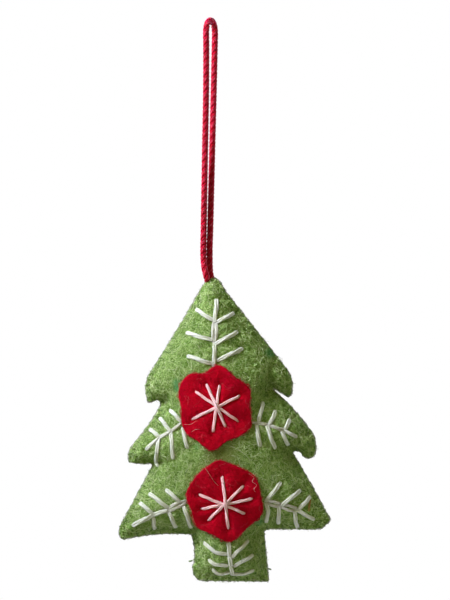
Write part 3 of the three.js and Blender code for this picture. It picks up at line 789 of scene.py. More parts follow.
def crown_height(points, seed):
    depth = pulled_depth(points)
    eased = np.sqrt(depth ** 2 + RIM_FLAT ** 2) - RIM_FLAT
    felt = FELT - (FELT - RIM_FELT) * np.exp(-depth / RIM_THINNING)
    height = 0.5 * SEAM_GAP + felt + SWELL * (1 - np.exp(-eased / SWELL_ROUND))
    return height + LUMP * lumps(points, LUMP_SIZE, seed) * np.clip(depth / LUMP_FADE, 0, 1)


def crease_depth(points):
    sunk = np.zeros(len(points))
    for start, end, depth in NOTCH_CREASES:
        away, share = distance_to_line(points, TIP + start, TIP + end)
        sunk = np.maximum(sunk, depth * (1 - CREASE_RISE * share) * fades(away, CREASE_WIDTH))
    return sunk * np.clip(distance_to_outline(points) / CREASE_FADE, 0, 1)


def stuffed_height(seed):
    """The crown with its creases, which never go down to the seam."""
    crown = crown_height(net_points, seed)
    return np.maximum(crown - crease_depth(net_points), np.minimum(crown, CREASE_FLOOR))


front_height = stuffed_height(FRONT_SEED)
back_height = stuffed_height(BACK_SEED)
print("crown stands", round(front_height.max(), 1), "mm proud of the seam")

# %% [markdown]
# The embroidery is decided before the felt is stuffed, because every stitch draws the cloth in where its
# yarn goes through. A sprig has a stem of short stitches and six leaves, and in some stem stitches the yarn's
# two strands lie apart. A star is four stitches that cross. All are given as points in millimetres
# from the tree's tip, or from the flower's middle.

# %% Embroidery plan
SPRIGS = {
    "top_sprig_yarn": {
        "widths": (1.1, 1.0, 1.0), "leaf": 1.0, "apart": {1: (1.4, 0.74)},
        "stem": [(1, -9.3), (0.4, -18.4), (0.2, -26.4), (0, -36.2)],
        "leaves": [
            [(-6.9, -13.1), (-0.4, -17.4)], [(7.6, -14.6), (0.6, -18.5)], [(-10.9, -22.4), (-0.4, -25.4)],
            [(9.2, -22), (0.4, -26.9)], [(-10.4, -31.6), (-0.4, -34.8)], [(11.3, -28.6), (1.3, -33.4)],
        ],
    },
    "left_middle_sprig_yarn": {
        "widths": (0.95, 0.8, 0.65), "leaf": 1.0, "apart": {},
        "stem": [(-26.9, -68.8), (-21.6, -64.2), (-17.1, -61.8), (-13, -58.4)],
        "leaves": [
            [(-25.4, -61), (-21.6, -63.9)], [(-22.2, -75.5), (-22.9, -72.4), (-21.7, -64.7)],
            [(-21.4, -56.6), (-17.1, -61.6)], [(-16.2, -72.5), (-17.1, -62.3)],
            [(-17.3, -53.3), (-13, -57.6)], [(-10.5, -68.2), (-12.4, -60.4)],
        ],
    },
    "right_middle_sprig_yarn": {
        "widths": (0.75, 0.7, 0.65), "leaf": 1.0, "apart": {},
        "stem": [(32.8, -63.8), (27.7, -61.2), (21.3, -59), (15.2, -58)],
        "leaves": [
            [(30, -57.2), (28.1, -61)], [(29.5, -66.8), (26.8, -61.6)], [(24.4, -53.7), (22, -59.2)],
            [(24.2, -68.4), (20.9, -59.4)], [(19.4, -50.2), (17.7, -57.8)], [(18.3, -67.4), (16.8, -59)],
        ],
    },
    "left_lower_sprig_yarn": {
        "widths": (1.15, 1.05, 1.0), "leaf": 1.0, "apart": {2: (1.5, 0.6)},
        "stem": [(-32.2, -99.2), (-24.4, -94.9), (-18.5, -93), (-11.1, -89.4)],
        "leaves": [
            [(-29.4, -90.5), (-24, -94.6)], [(-23.8, -100.4), (-24.2, -96.2)],
            [(-25.6, -86.6), (-18.2, -92.1)], [(-15.3, -99.7), (-18, -93.7)],
            [(-18.9, -85), (-13.2, -90)], [(-9.1, -99.9), (-12, -91.4)],
        ],
    },
    "right_lower_sprig_yarn": {
        "widths": (0.9, 0.9, 0.9), "leaf": 1.0, "apart": {1: (1.7, 0.52), 2: (1.6, 0.52)},
        "stem": [(39.9, -96.7), (32.7, -92.8), (26.1, -91), (20.7, -89.5)],
        "leaves": [
            [(38.1, -88), (34, -92.6)], [(33.2, -100), (32, -93.1)], [(34.2, -85.3), (26.8, -91.3)],
            [(25.8, -98.2), (25.8, -91.6)], [(26.5, -82.2), (20.7, -89.5)],
            [(20.7, -97.7), (21.5, -93.6), (20.7, -90)],
        ],
    },
    "trunk_sprig_yarn": {
        "widths": (1.15, 1.15, 1.1), "leaf": 0.85, "apart": {},
        "stem": [(5.9, -105.6), (6.2, -111.5), (6.7, -115.4), (7.4, -118.2)],
        "leaves": [
            [(-3.8, -106.1), (0.7, -109.7), (5.1, -110.6)], [(13.5, -105.3), (7.2, -111.8)],
            [(-1.8, -113), (0.3, -114.5), (5.6, -115)], [(15.3, -111.1), (8.1, -115.3)],
            [(-0.3, -116.8), (1.9, -118.4), (6.2, -117.7)], [(15.6, -117), (11.1, -118.4), (6.7, -118.3)],
        ],
    },
}
Flower = namedtuple("Flower", "node star_node middle rim star")
FLOWERS = [
    Flower(
        "upper_flower", "upper_star_yarn", (1.3, -51.8),
        [(2, 12.9), (26, 14.7), (40, 14.4), (58, 13.8), (87, 16.6), (113, 14.5), (128, 16.75), (138, 17.3),
         (150, 17.1), (165, 15.9), (182, 14.3), (203, 15.4), (222, 16.2), (235, 15.6), (264, 17.5),
         (287, 14.1), (308, 14.7), (328, 15.5), (343, 14.1)],
        [[(-8.7, 6.1), (8.2, -5.7)], [(8.8, 4.4), (-10.1, -5.1)],
         [(0.9, 8.7), (-1.7, -9.9)], [(-4.2, 8.8), (3.3, -7.9)]],
    ),
    Flower(
        "lower_flower", "lower_star_yarn", (4.6, -89.9),
        [(12, 14.4), (42, 15.7), (66, 15), (78, 15.3), (100, 17), (118, 16), (138, 15.6), (168, 16),
         (195, 14), (221, 15), (245, 13.8), (277, 15.8), (312, 13.3), (343, 15.2)],
        [[(10.6, 1.4), (-9.6, -2.6)], [(7.8, -4.5), (-10.4, 3.1)],
         [(7.1, 6.6), (-6.9, -7.2)], [(-1.3, 10.4), (1.1, -10.4)]],
    ),
]
print("planned:", len(SPRIGS), "sprigs and", len(FLOWERS), "stars")

# %% [markdown]
# The plan is read as stitches, each a short line of points with a width. Where the two strands of the yarn
# lie apart, one stitch becomes two thinner ones that bow away from each other. Every end of a stitch is a
# needle hole, which the stuffing below has to know.

# %% Stitches of the plan
STRAND_START = 0.7
STRAND_END = 0.4


def split_strands(points, apart):
    """Two lines beside a stitch, a distance apart and drawn together at their ends."""
    start, end = points
    way = (end - start) / np.linalg.norm(end - start)
    aside = 0.5 * apart * np.array([-way[1], way[0]])
    middle = 0.5 * (start + end)
    strands = []
    for side in (-aside, aside):
        strands.append(np.array([start + STRAND_START * side, middle + side, end + STRAND_END * side]))
    return strands


def sprig_stitches(sprig):
    """The stitches of a sprig as points and a width."""
    stitches = []
    for order, pair in enumerate(zip(sprig["stem"], sprig["stem"][1:])):
        points = np.array(pair, float) + TIP
        if order in sprig["apart"]:
            distance, width = sprig["apart"][order]
            stitches.extend((strand, width) for strand in split_strands(points, distance))
        else:
            stitches.append((points, sprig["widths"][order]))
    stitches.extend((np.array(points, float) + TIP, sprig["leaf"]) for points in sprig["leaves"])
    return stitches


def star_stitches(flower):
    return [np.array(points, float) + np.array(flower.middle) + TIP for points in flower.star]


stitch_plan = [stitch for sprig in SPRIGS.values() for stitch, _ in sprig_stitches(sprig)]
stitch_plan += [stitch for flower in FLOWERS for stitch in star_stitches(flower)]
needle_holes = np.array([stitch[end] for stitch in stitch_plan for end in (0, -1)])
print("needle holes:", len(needle_holes))

# %% [markdown]
# Stuffing is the work of a cloth simulation. Front and back net meet at the rim and make a closed bag, which
# air pressure swells while the rim, the needle holes and the creases at the notches are held. The cloth then
# bulges between them and dips at them, which a formula for each dimple would only imitate. The bag is ten
# times its size while it swells, because the solver is tuned for clothes, and a cap keeps every point near
# the planned crown.

# %% Stuff the tree
SIM_SCALE = 10.0
SIM_FRAMES = 18
SWELL_CAP = 1.6
HOLE_DEPTH = 1.1
HOLE_WIDTH = 2.2
HELD_HOLE = 0.55
HELD_CREASE = 1.8
CLOTH = {
    "quality": 6, "mass": 0.3, "air_damping": 4.0, "tension_stiffness": 18.0, "compression_stiffness": 18.0,
    "shear_stiffness": 10.0, "bending_stiffness": 1.5, "use_pressure": True, "uniform_pressure_force": 4.0,
    "vertex_group_mass": "held",
}


def sink_holes(height):
    """The crown with a dip at every needle hole."""
    away = np.linalg.norm(net_points[:, None] - needle_holes[None], axis=2).min(axis=1)
    return height - HOLE_DEPTH * fades(away, HOLE_WIDTH), away


def bag_points(front, back):
    x, z = net_points.T
    return np.vstack([np.stack([x, -front, z], axis=1), np.stack([x, back, z], axis=1)])


def bag_faces():
    count = len(net_points)
    rim = []
    for step in range(rim_count):
        after = (step + 1) % rim_count
        rim.append((step, after, count + after, count + step))
    return [*net_faces, *shifted(turned_over(net_faces), count), *rim]


def swell_bag(points, faces, held):
    mesh = bpy.data.meshes.new("felt_bag")
    mesh.from_pydata([tuple(point) for point in points * MM * SIM_SCALE], [], faces)
    bag = in_scene("felt_bag", mesh)
    pins = bag.vertex_groups.new(name="held")
    pins.add([int(each) for each in held], 1.0, "REPLACE")
    cloth = bag.modifiers.new("stuffing", "CLOTH")
    for setting, value in CLOTH.items():
        setattr(cloth.settings, setting, value)
    cloth.settings.effector_weights.gravity = 0.0
    cloth.point_cache.frame_end = SIM_FRAMES
    for each in range(1, SIM_FRAMES + 1):
        bpy.context.scene.frame_set(each)
    swollen = bag.evaluated_get(bpy.context.evaluated_depsgraph_get())
    moved = np.empty(len(points) * 3)
    swollen.data.vertices.foreach_get("co", moved)
    bpy.context.scene.frame_set(1)
    bpy.data.objects.remove(bag)
    return moved.reshape(-1, 3) / (MM * SIM_SCALE)


front_start, hole_away = sink_holes(front_height)
bag_start = bag_points(front_start, back_height)
bag = bag_start
pinned = np.flatnonzero((hole_away < HELD_HOLE * NET_STEP) | (crease_depth(net_points) > HELD_CREASE))
rim_pins = np.concatenate([np.arange(rim_count), len(net_points) + np.arange(rim_count)])
swollen = swell_bag(bag_start, bag_faces(), np.concatenate([rim_pins, pinned]))
move = swollen - bag_start
size = np.maximum(np.linalg.norm(move, axis=1), TINY)
bag = bag_start + move * np.minimum(1.0, SWELL_CAP / size)[:, None]
print("stuffing moved the felt up to", round(float(size.max()), 2), "mm")
front_skin, back_skin = np.split(bag, 2)

# %% [markdown]
# Wool felt has no weave: it is a mat of crimped fibres. Three sets of stretched noise, turned against each
# other, lie like such fibres, and the brightest wins at each spot. A single noise would look like sponge.

# %% Fibre mat
FIBRE_WIDE = 0.42 * MM
FIBRE_LONG = 2.8 * MM
FIBRE_TURNS = (12.0, 71.0, 133.0)
FIBRE_CRIMP = 0.9


def fibre_mat(graph, place):
    """Height of matted fibres, from 0 to 1."""
    mat = None
    for turn in FIBRE_TURNS:
        laid = graph.node("ShaderNodeMapping", {"vector_type": "TEXTURE"}, {
            "Vector": place,
            "Rotation": (0.0, math.radians(turn), 0.0),
            "Scale": (FIBRE_WIDE, FIBRE_WIDE * 2, FIBRE_LONG),
        })
        strand = graph.node("ShaderNodeTexNoise", {}, {
            "Vector": laid, "Scale": 1.0, "Detail": 2.0, "Distortion": FIBRE_CRIMP,
        })
        mat = strand if mat is None else mat.at_least(strand)
    return mat


def blotches(graph, place, size, low, high):
    """Soft patches of about a size, from 0 where the noise is low to 1 where it is high."""
    spots = grain(graph, place, 1 / size, detail=3.0)
    return graph.node("ShaderNodeMapRange", {}, {"Value": spots, "From Min": low, "From Max": high})


def mix_colours(graph, share, first, second):
    mixed = {"Factor": share, "A": first, "B": second}
    return graph.node("ShaderNodeMix", {"data_type": "RGBA"}, mixed, "Result")


# %% [markdown]
# The fibres of the tree's felt have many greens, from pale to nearly black, with a few tufts of other wool,
# as if fleeces had been carded together. An olive-brown patch between the flowers is painted shade with
# painted reddish bounce light from them. Tufts and patch are set by their distance from given places. The
# red of the flowers is more even, with blotches of a deeper dye. The same relief drives colour and bump, so a
# pale fibre is also a raised one.

# %% Felt material
FELT_ROUGH = 0.95
FELT_RELIEF = 0.8 * MM
FELT_SCATTER = 0.3
SHADE_SIZE = 11 * MM
SHADE_SHARE = 0.45
DEEP_RED = (0.32, 0.0, 0.02, 1.0)
DEEP_RED_SIZE = 9 * MM
DEEP_RED_SHARE = 0.4
PATCH_CORE = 0.3
TEAL = (0.035, 0.3, 0.09, 1.0)
# Painted shade with reddish bounce light from the flowers, for the patch between them.
PAINTED_SHADE_BETWEEN_FLOWERS = (0.2, 0.14, 0.04, 1.0)
ColourPatch = namedtuple("ColourPatch", "x z size colour share")
TUFTS_AND_PAINTED_SHADE = [
    ColourPatch(-14.9, -42.4, 2.4, TEAL, 0.55), ColourPatch(-14.6, -44.6, 2.2, TEAL, 0.55),
    ColourPatch(22.6, -30.2, 2.8, TEAL, 0.55), ColourPatch(18.0, -97.6, 2.4, TEAL, 0.4),
    ColourPatch(-6.8, -67.8, 1.6, TEAL, 0.3), ColourPatch(9.0, -44.0, 1.4, TEAL, 0.4),
    # The patch between the two flowers is painted shade with painted reddish bounce light.
    ColourPatch(3.0, -70.6, 9.0, PAINTED_SHADE_BETWEEN_FLOWERS, 0.4),
]


def with_tufts_and_painted_shade(graph, place, colour):
    """A colour that gives way to tufts of other wool in the front felt and to painted shade between the
    flowers.
    """
    flat = graph.node("ShaderNodeVectorMath", {"operation": "MULTIPLY"}, {0: place, 1: (1.0, 0.0, 1.0)})
    depth = graph.node("ShaderNodeSeparateXYZ", {}, {0: place}, "Y")
    front = depth.combine("LESS_THAN", depth, 0.0)
    for patch in TUFTS_AND_PAINTED_SHADE:
        middle = ((TIP[0] + patch.x) * MM, 0.0, (TIP[1] + patch.z) * MM)
        away = graph.node("ShaderNodeVectorMath", {"operation": "DISTANCE"}, {0: flat, 1: middle}, "Value")
        size = patch.size * MM
        near = graph.node("ShaderNodeMapRange", {}, {
            "Value": away, "From Min": size, "From Max": PATCH_CORE * size, "To Max": patch.share,
        })
        colour = mix_colours(graph, near * front, colour, patch.colour)
    return colour


def with_deeper_red(graph, place, colour):
    """A colour with blotches of a deeper red dye."""
    dyed = blotches(graph, place, DEEP_RED_SIZE, low=0.5, high=0.75) * DEEP_RED_SHARE
    return mix_colours(graph, dyed, colour, DEEP_RED)


def felt_material(name, stops, shade, spotted):
    """Felt from a ramp over the fibre heights, with a darker shade in blotches and spots of other wool."""
    material, graph = new_material(name)
    place = object_place(graph)
    mat = fibre_mat(graph, place)
    wide = blotches(graph, place, SHADE_SIZE, low=0.42, high=0.68) * SHADE_SHARE
    shaded = mix_colours(graph, wide, ramp(graph, mat, stops), (*shade, 1.0))
    cloth_surface(graph, spotted(graph, place, shaded), FELT_ROUGH, mat, FELT_RELIEF, scatter=FELT_SCATTER)
    return material


GREEN_FELT = felt_material(
    "green_wool_felt",
    [(0.42, (0.045, 0.1, 0.009)), (0.56, (0.195, 0.34, 0.058)), (0.7, (0.46, 0.61, 0.2))],
    (0.1, 0.185, 0.025), with_tufts_and_painted_shade,
)
RED_FELT = felt_material(
    "red_wool_felt",
    [(0.42, (0.34, 0.0, 0.006)), (0.58, (0.475, 0.0, 0.01)), (0.76, (0.56, 0.002, 0.017))],
    (0.33, 0.0, 0.009), with_deeper_red,
)
print("felts:", GREEN_FELT.name, "and", RED_FELT.name)

# %% [markdown]
# Where felt is cut, its ends of fibre show as a paler, greyer edge. That band is only the narrow wall of the
# panel, so it is a second material on those faces, and not a stripe painted from the side.

# %% Cut edge material


def grained_material(name, size, detail, stops, roughness, relief):
    """A plain cloth whose colour and relief follow one fine grain."""
    material, graph = new_material(name)
    fine = grain(graph, object_place(graph), 1 / size, detail)
    cloth_surface(graph, ramp(graph, fine, stops), roughness, fine, relief)
    return material


CUT_EDGE = grained_material("cut_felt_edge", size=0.4 * MM, detail=3.0, stops=[
    (0.3, (0.1, 0.11, 0.055)), (0.5, (0.29, 0.3, 0.18)), (0.72, (0.52, 0.48, 0.37)),
], roughness=FELT_ROUGH, relief=0.5 * MM)
print("cut edge:", CUT_EDGE.name)

# %% [markdown]
# The rim is overcast by hand, so the places of those stitches come before the panels: evenly along the edge,
# but not beside the cord and not in the notches, where two edges are too close. Each stitch pulls a small
# pucker into the felt, by a random amount with a fixed seed, and where the thread is tied off it pulls most.

# %% Overcast places
STITCH_PITCH = 3.1
STITCH_REACH = 2.1
PUCKER = (0.5, 1.9)
PUCKER_WIDTH = 1.0
PUCKER_SEED = 5
TIED_OFF = [(-5.6, -115.4), (-4.3, -117.0), (-7.3, -113.8)]
TIED_PULL = 2.4
CORD_MIDDLE = -1.75
CORD_ROOM = 3.0
TIP_ROOM = 8.0
NOTCH_STEP = 0.8
NOTCH_ROOM = 0.6


def overcast_spots():
    """Places of the overcast stitches along the rim: point, inward direction."""
    loop = np.vstack([outline, outline[:1]])
    along = lengths_along(loop)
    count = round(along[-1] / STITCH_PITCH)
    spots = []
    for at in (np.arange(count) + 0.5) * along[-1] / count:
        step = np.searchsorted(along, at) - 1
        point = np.array([np.interp(at, along, loop[:, axis]) for axis in range(2)])
        by_cord = abs(point[0] - CORD_MIDDLE) < CORD_ROOM and point[1] > TIP[1] - TIP_ROOM
        crowded = distance_to_outline((point - NOTCH_STEP * rim_inward[step])[None])[0] < NOTCH_ROOM
        if not by_cord and not crowded:
            spots.append((point, rim_inward[step]))
    return spots


def pucker(points):
    """How far the thread draws the felt in. No two stitches pull alike, and the tied-off ones pull most."""
    holes = [point + STITCH_REACH * inward for point, inward in overcast]
    holes = np.array(holes + [TIP + spot for spot in TIED_OFF])
    pull = np.random.default_rng(PUCKER_SEED).uniform(*PUCKER, len(holes))
    pull[-len(TIED_OFF):] = TIED_PULL
    away = np.linalg.norm(points[:, None] - holes[None], axis=2)
    return np.max(pull * fades(away, PUCKER_WIDTH), axis=1)


overcast = overcast_spots()
print("overcast stitches planned:", len(overcast))

# %% [markdown]
# A panel is the swollen skin, an inner face 1.8 mm behind it and a rounded wall between them. Thickness is
# measured towards the seam, so both cut edges lie against each other all round. Solidify works along the
# normals and would open a wedge there. A tree of each panel's faces is kept, because rays will lay the
# flowers, the yarn and the fill against it.

# %% Felt panels
RIM_ROUND = 0.55
RAY_START = 60.0


def on_tree(piece, slot, *nodes):
    """Lets a piece move with the tree and hides the CAD nodes it stands for. The slot is not used."""
    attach(piece, "tree")
    if nodes:
        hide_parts(*nodes)


def panel(name, node, skin, side):
    """A closed felt panel behind a skin. side is -1 for the front and 1 for the back."""
    outer = skin.copy()
    outer[:, 1] -= side * pucker(net_points)
    inset = RIM_ROUND * rim_inward
    outer[:rim_count, 0] += inset[:, 0]
    outer[:rim_count, 2] += inset[:, 1]
    inner = skin.copy()
    inner[:, 1] = side * np.maximum(side * outer[:, 1] - FELT, 0.5 * SEAM_GAP)
    wall = skin[:rim_count].copy()
    wall[:, 1] = 0.5 * (outer[:rim_count, 1] + inner[:rim_count, 1])
    count = len(net_points)
    faces = [*net_faces, *shifted(turned_over(net_faces), count)]
    net_count = len(faces)
    for step in range(rim_count):
        after = (step + 1) % rim_count
        faces.append((step, after, 2 * count + after, 2 * count + step))
        faces.append((2 * count + step, 2 * count + after, count + after, count + step))
    if side > 0:
        faces = turned_over(faces)
    made = mesh_object(name, np.vstack([outer, inner, wall]), faces, GREEN_FELT)
    made.data.materials.append(CUT_EDGE)
    index = np.zeros(len(faces), np.int32)
    index[net_count:] = 1
    made.data.polygons.foreach_set("material_index", index)
    on_tree(made, "felt_green", node)
    return made, outer, faces[net_count:]


def felt_under(x, z, tree):
    """Where a ray from the front meets a surface, in millimetres, and the surface's direction there."""
    hit, normal, _, _ = tree.ray_cast(Vector((x, -RAY_START, z)), Vector((0, 1, 0)))
    return hit, normal


def ray_tree(points, faces):
    return BVHTree.FromPolygons([Vector(point) for point in points], faces)


front_felt, front_outer, front_walls = panel("front_felt", "front_felt_panel", front_skin, -1)
back_felt, back_outer, back_walls = panel("back_felt", "back_felt_panel", back_skin, 1)
front_tree = ray_tree(front_outer, net_faces)
back_tree = ray_tree(back_outer, net_faces)
print("panels of", len(front_felt.data.polygons), "faces each")

# %% [markdown]
# The fill is hidden, but a buyer who unpicks the seam finds carded wool. It starts as a copy of the CAD
# solid, remeshed to even faces and smoothed, and a noise makes it lumpy. Rays to both felts keep every point
# of it behind their inner faces, also where a crease or a pucker comes deep.

# %% Wool fill
FILL_ROOM = 0.2
FILL_VOXEL = 1.6 * MM
FILL_WELD = 0.02 * MM
FILL_SMOOTHING = 12
FILL_SMOOTH_SHARE = 0.6
FILL_SLACK = 0.5
FILL_LUMP = 0.4
FILL_LUMP_SIZE = 6 * MM
FILL_SHEEN = 0.2


def wool_material():
    material, graph = new_material("carded_wool")
    mat = fibre_mat(graph, object_place(graph))
    colour = ramp(graph, mat, [(0.4, (0.55, 0.52, 0.44)), (0.7, (0.86, 0.84, 0.77))])
    cloth_surface(graph, colour, FELT_ROUGH, mat, FELT_RELIEF, FILL_SHEEN)
    return material


def behind_felt(place):
    """The depth of a place in the fill, kept behind the inner face of the felt before it."""
    hit, _ = felt_under(place.x, place.z, front_tree if place.y < 0 else back_tree)
    room = max(abs(hit.y) - FELT - FILL_ROOM, FILL_ROOM) if hit else FILL_ROOM
    return math.copysign(min(abs(place.y), room), place.y)


def wool_fill():
    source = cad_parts["wool_stuffing"]
    made = in_scene("wool_fill", source.data.copy())
    made.data.materials.clear()
    made.data.materials.append(wool_material())
    weld = made.modifiers.new("weld", "WELD")
    weld.merge_threshold = FILL_WELD
    remesh = made.modifiers.new("even", "REMESH")
    remesh.voxel_size = FILL_VOXEL
    smooth = made.modifiers.new("soft", "SMOOTH")
    smooth.factor = FILL_SMOOTH_SHARE
    smooth.iterations = FILL_SMOOTHING
    made.data = bpy.data.meshes.new_from_object(made.evaluated_get(bpy.context.evaluated_depsgraph_get()))
    made.modifiers.clear()
    for vertex in made.data.vertices:
        lump = noise.noise(vertex.co * (1 / FILL_LUMP_SIZE))
        vertex.co -= vertex.normal * (FILL_SLACK + FILL_LUMP * lump) * MM
        vertex.co.y = behind_felt(vertex.co / MM) * MM
    made.data.shade_smooth()
    return made


fill = wool_fill()
on_tree(fill, "fill_white", "wool_stuffing")
print("wool fill of", len(fill.data.polygons), "faces")

# %% [markdown]
# A flower is a soft-cornered rosette cut from thinner crimson felt. Its cut edge is drawn through a few
# points, each an angle and a radius from the flower's middle, and has one point for every spoke of the
# rosette. A flower is held by its star alone, so it bridges small dips of the felt below and isn't pressed
# into them.

# %% Flower outlines
FLOWER_SPOKES = 120
CUT_STEP = 0.2
FIRST_SPOKE = 0.6
BRIDGE_ROUNDS = 8


def flower_rim(flower):
    """The cut edge of a flower, one point for each spoke, measured from its middle."""
    points = []
    for degrees, radius in flower.rim:
        angle = math.radians(degrees)
        points.append((radius * math.cos(angle), radius * math.sin(angle)))
    closed = np.array(points[-2:] + points + points[:2])
    line = smooth_line(closed, CUT_STEP)
    angle = np.unwrap(np.arctan2(line[:, 1], line[:, 0]))
    first = angle[0] + FIRST_SPOKE
    at = np.linspace(first, first + 2 * np.pi, FLOWER_SPOKES, endpoint=False)
    radius = np.interp(at, angle, np.linalg.norm(line, axis=1))
    return np.stack([radius * np.cos(at), radius * np.sin(at)], axis=1)


def flower_heights(places):
    """The felt's height under rings of places, evened out so that the flower bridges small dips."""
    heights = np.array([[felt_under(x, z, front_tree)[0].y for x, z in ring] for ring in places])
    low = heights.copy()
    for _ in range(BRIDGE_ROUNDS):
        around = 0.25 * (np.roll(heights, 1, axis=1) + np.roll(heights, -1, axis=1))
        inner = np.vstack([heights[:1], heights[:-1]])
        outer = np.vstack([heights[1:], heights[-1:]])
        heights = np.minimum(around + 0.25 * (inner + outer), low)
    return heights


for flower in FLOWERS:
    print(flower.node, "is cut", np.round(np.ptp(flower_rim(flower), axis=0), 1), "mm")

# %% [markdown]
# Rings of points grow from the middle of a flower to its rim and are set down on the felt by rays, so it
# follows the crown. The upper skin lies a felt's thickness higher, the wall between the skins is rounded, and
# the four star stitches quilt it down, deepest where the yarn goes through. A Solidify on a flat cut-out
# would lie stiff on the crown like card.

# %% Felt flowers
FLOWER_FELT = 1.5
FLOWER_THINNEST = 0.5
FLOWER_GAP = 0.1
FLOWER_RINGS = np.array([0.02, 0.1, 0.22, 0.34, 0.46, 0.57, 0.67, 0.76, 0.84, 0.91, 0.965, 0.99])
FLOWER_LUMP = 0.18
FLOWER_LUMP_SIZE = 4.0
FLOWER_SEED = 2.2
QUILT = 0.6
QUILT_WIDTH = 1.45
END_PULL = 0.7
END_SHARE = 0.09


def quilting(flat, flower):
    """How far the stitches of the star draw a flower in."""
    quilt = np.zeros(len(flat))
    for stitch in star_stitches(flower):
        away, share = distance_to_line(flat, stitch[0], stitch[-1])
        ends = 1.0 + END_PULL * fades(np.minimum(share, 1 - share), END_SHARE)
        quilt = np.maximum(quilt, QUILT * ends * fades(away, QUILT_WIDTH))
    return quilt


def rosette_points(flower, rim):
    """The upper skin, the lower skin, the rim and the two middles of a flower."""
    middle = np.array(flower.middle) + TIP
    places = middle + FLOWER_RINGS[:, None, None] * rim[None]
    base = (flower_heights(places) - FLOWER_GAP).reshape(-1)
    flat = places.reshape(-1, 2)
    thick = FLOWER_FELT - quilting(flat, flower) + FLOWER_LUMP * lumps(flat, FLOWER_LUMP_SIZE, FLOWER_SEED)
    top = base - np.maximum(thick, FLOWER_THINNEST)
    upper = np.stack([flat[:, 0], top, flat[:, 1]], axis=1)
    lower = np.stack([flat[:, 0], base, flat[:, 1]], axis=1)
    halfway = 0.5 * (upper + lower)[-FLOWER_SPOKES:, 1]
    edge = np.stack([middle[0] + rim[:, 0], halfway, middle[1] + rim[:, 1]], axis=1)
    middles = [skin[:FLOWER_SPOKES].mean(axis=0) for skin in (upper, lower)]
    return np.vstack([upper, lower, edge, *middles])


def rosette_faces():
    """All faces of a flower, those of its upper skin and those of its rim."""
    rings, spokes = len(FLOWER_RINGS), FLOWER_SPOKES
    under, wall = rings * spokes, 2 * rings * spokes
    crest, pit = wall + spokes, wall + spokes + 1
    last = (rings - 1) * spokes
    faces = []
    for spoke in range(spokes):
        after = (spoke + 1) % spokes
        faces.append((crest, spoke, after))
        faces.append((pit, under + after, under + spoke))
        for ring in range(rings - 1):
            here, there = ring * spokes, (ring + 1) * spokes
            square = (here + spoke, there + spoke, there + after, here + after)
            faces.append(square)
            faces.append(tuple(under + corner for corner in reversed(square)))
        faces.append((last + spoke, wall + spoke, wall + after, last + after))
        faces.append((wall + spoke, under + last + spoke, under + last + after, wall + after))
    skin_faces = [face for face in faces if max(face) < under or max(face) == crest]
    rim_faces = [face for face in faces if max(face) >= wall and crest not in face and pit not in face]
    return faces, skin_faces, rim_faces


def flower_piece(flower):
    rim = flower_rim(flower)
    points = rosette_points(flower, rim)
    faces, skin_faces, rim_faces = rosette_faces()
    made = mesh_object(flower.node + "_felt", points, faces, RED_FELT)
    on_tree(made, "felt_red", flower.node)
    print(made.name, "has", len(faces), "faces")
    return points, skin_faces, rim_faces


flower_skins = {flower.node: flower_piece(flower) for flower in FLOWERS}

# %% [markdown]
# What repeats on this ornament, yarn, thread and fibre, is grown by Geometry Nodes. Each tree is a recipe
# with named sizes, and ends by making its instances real, because the export drops instances. The result is
# then kept as a plain mesh. Modelling each stitch by hand would take hundreds of pieces.

# %% Recipes for growing


def new_tree(name, inputs):
    """An empty Geometry Nodes tree with a geometry input, named inputs and one geometry output."""
    tree = bpy.data.node_groups.new(name, "GeometryNodeTree")
    tree.interface.new_socket("Geometry", in_out="INPUT", socket_type="NodeSocketGeometry")
    tree.interface.new_socket("Geometry", in_out="OUTPUT", socket_type="NodeSocketGeometry")
    for label, kind in inputs:
        tree.interface.new_socket(label, in_out="INPUT", socket_type="NodeSocket" + kind)
    graph = Graph(tree)
    return tree, graph, graph.node("NodeGroupInput")


def close_tree(graph, shape, given):
    real = graph.node("GeometryNodeRealizeInstances", {}, {0: shape})
    soft = graph.node("GeometryNodeSetShadeSmooth", {}, {0: real})
    dressed = graph.node("GeometryNodeSetMaterial", {}, {0: soft, "Material": given.out("Material")})
    graph.node("NodeGroupOutput", {}, {0: dressed})


def run_tree(made, tree, values):
    """Runs a tree on an object and keeps the result as its plain mesh."""
    modifier = made.modifiers.new(tree.name, "NODES")
    modifier.node_group = tree
    for socket in tree.interface.items_tree:
        if socket.in_out == "INPUT" and socket.name in values:
            modifier[socket.identifier] = values[socket.name]
    grown = made.evaluated_get(bpy.context.evaluated_depsgraph_get())
    mesh = bpy.data.meshes.new_from_object(grown)
    made.modifiers.clear()
    made.data = mesh
    return made


def scaled(graph, vector, share):
    return graph.node("ShaderNodeVectorMath", {"operation": "SCALE"}, {0: vector, "Scale": share})


def added(graph, first, second):
    return graph.node("ShaderNodeVectorMath", {"operation": "ADD"}, {0: first, 1: second})


def named(graph, name, kind="FLOAT_VECTOR"):
    return graph.node("GeometryNodeInputNamedAttribute", {"data_type": kind}, {"Name": name})


def tubes_along(graph, lines, corners, radius):
    """Closed tubes along curves."""
    section = graph.node("GeometryNodeCurvePrimitiveCircle", {}, {"Resolution": corners, "Radius": radius})
    return graph.node("GeometryNodeCurveToMesh", {}, {0: lines, 1: section, "Fill Caps": True})


# %% [markdown]
# Every stitch is a line that comes up through the felt, lies along it and goes down again. The line is a
# chain of points that remembers the direction of the felt below. A tree lays three soft plies round each line
# and flattens them against the felt, so all stitches share one recipe and a few sizes.

# %% Yarn tree
YARN_PLIES = 3
YARN_STEP = 0.4 * MM
PLY_CORNERS = 8


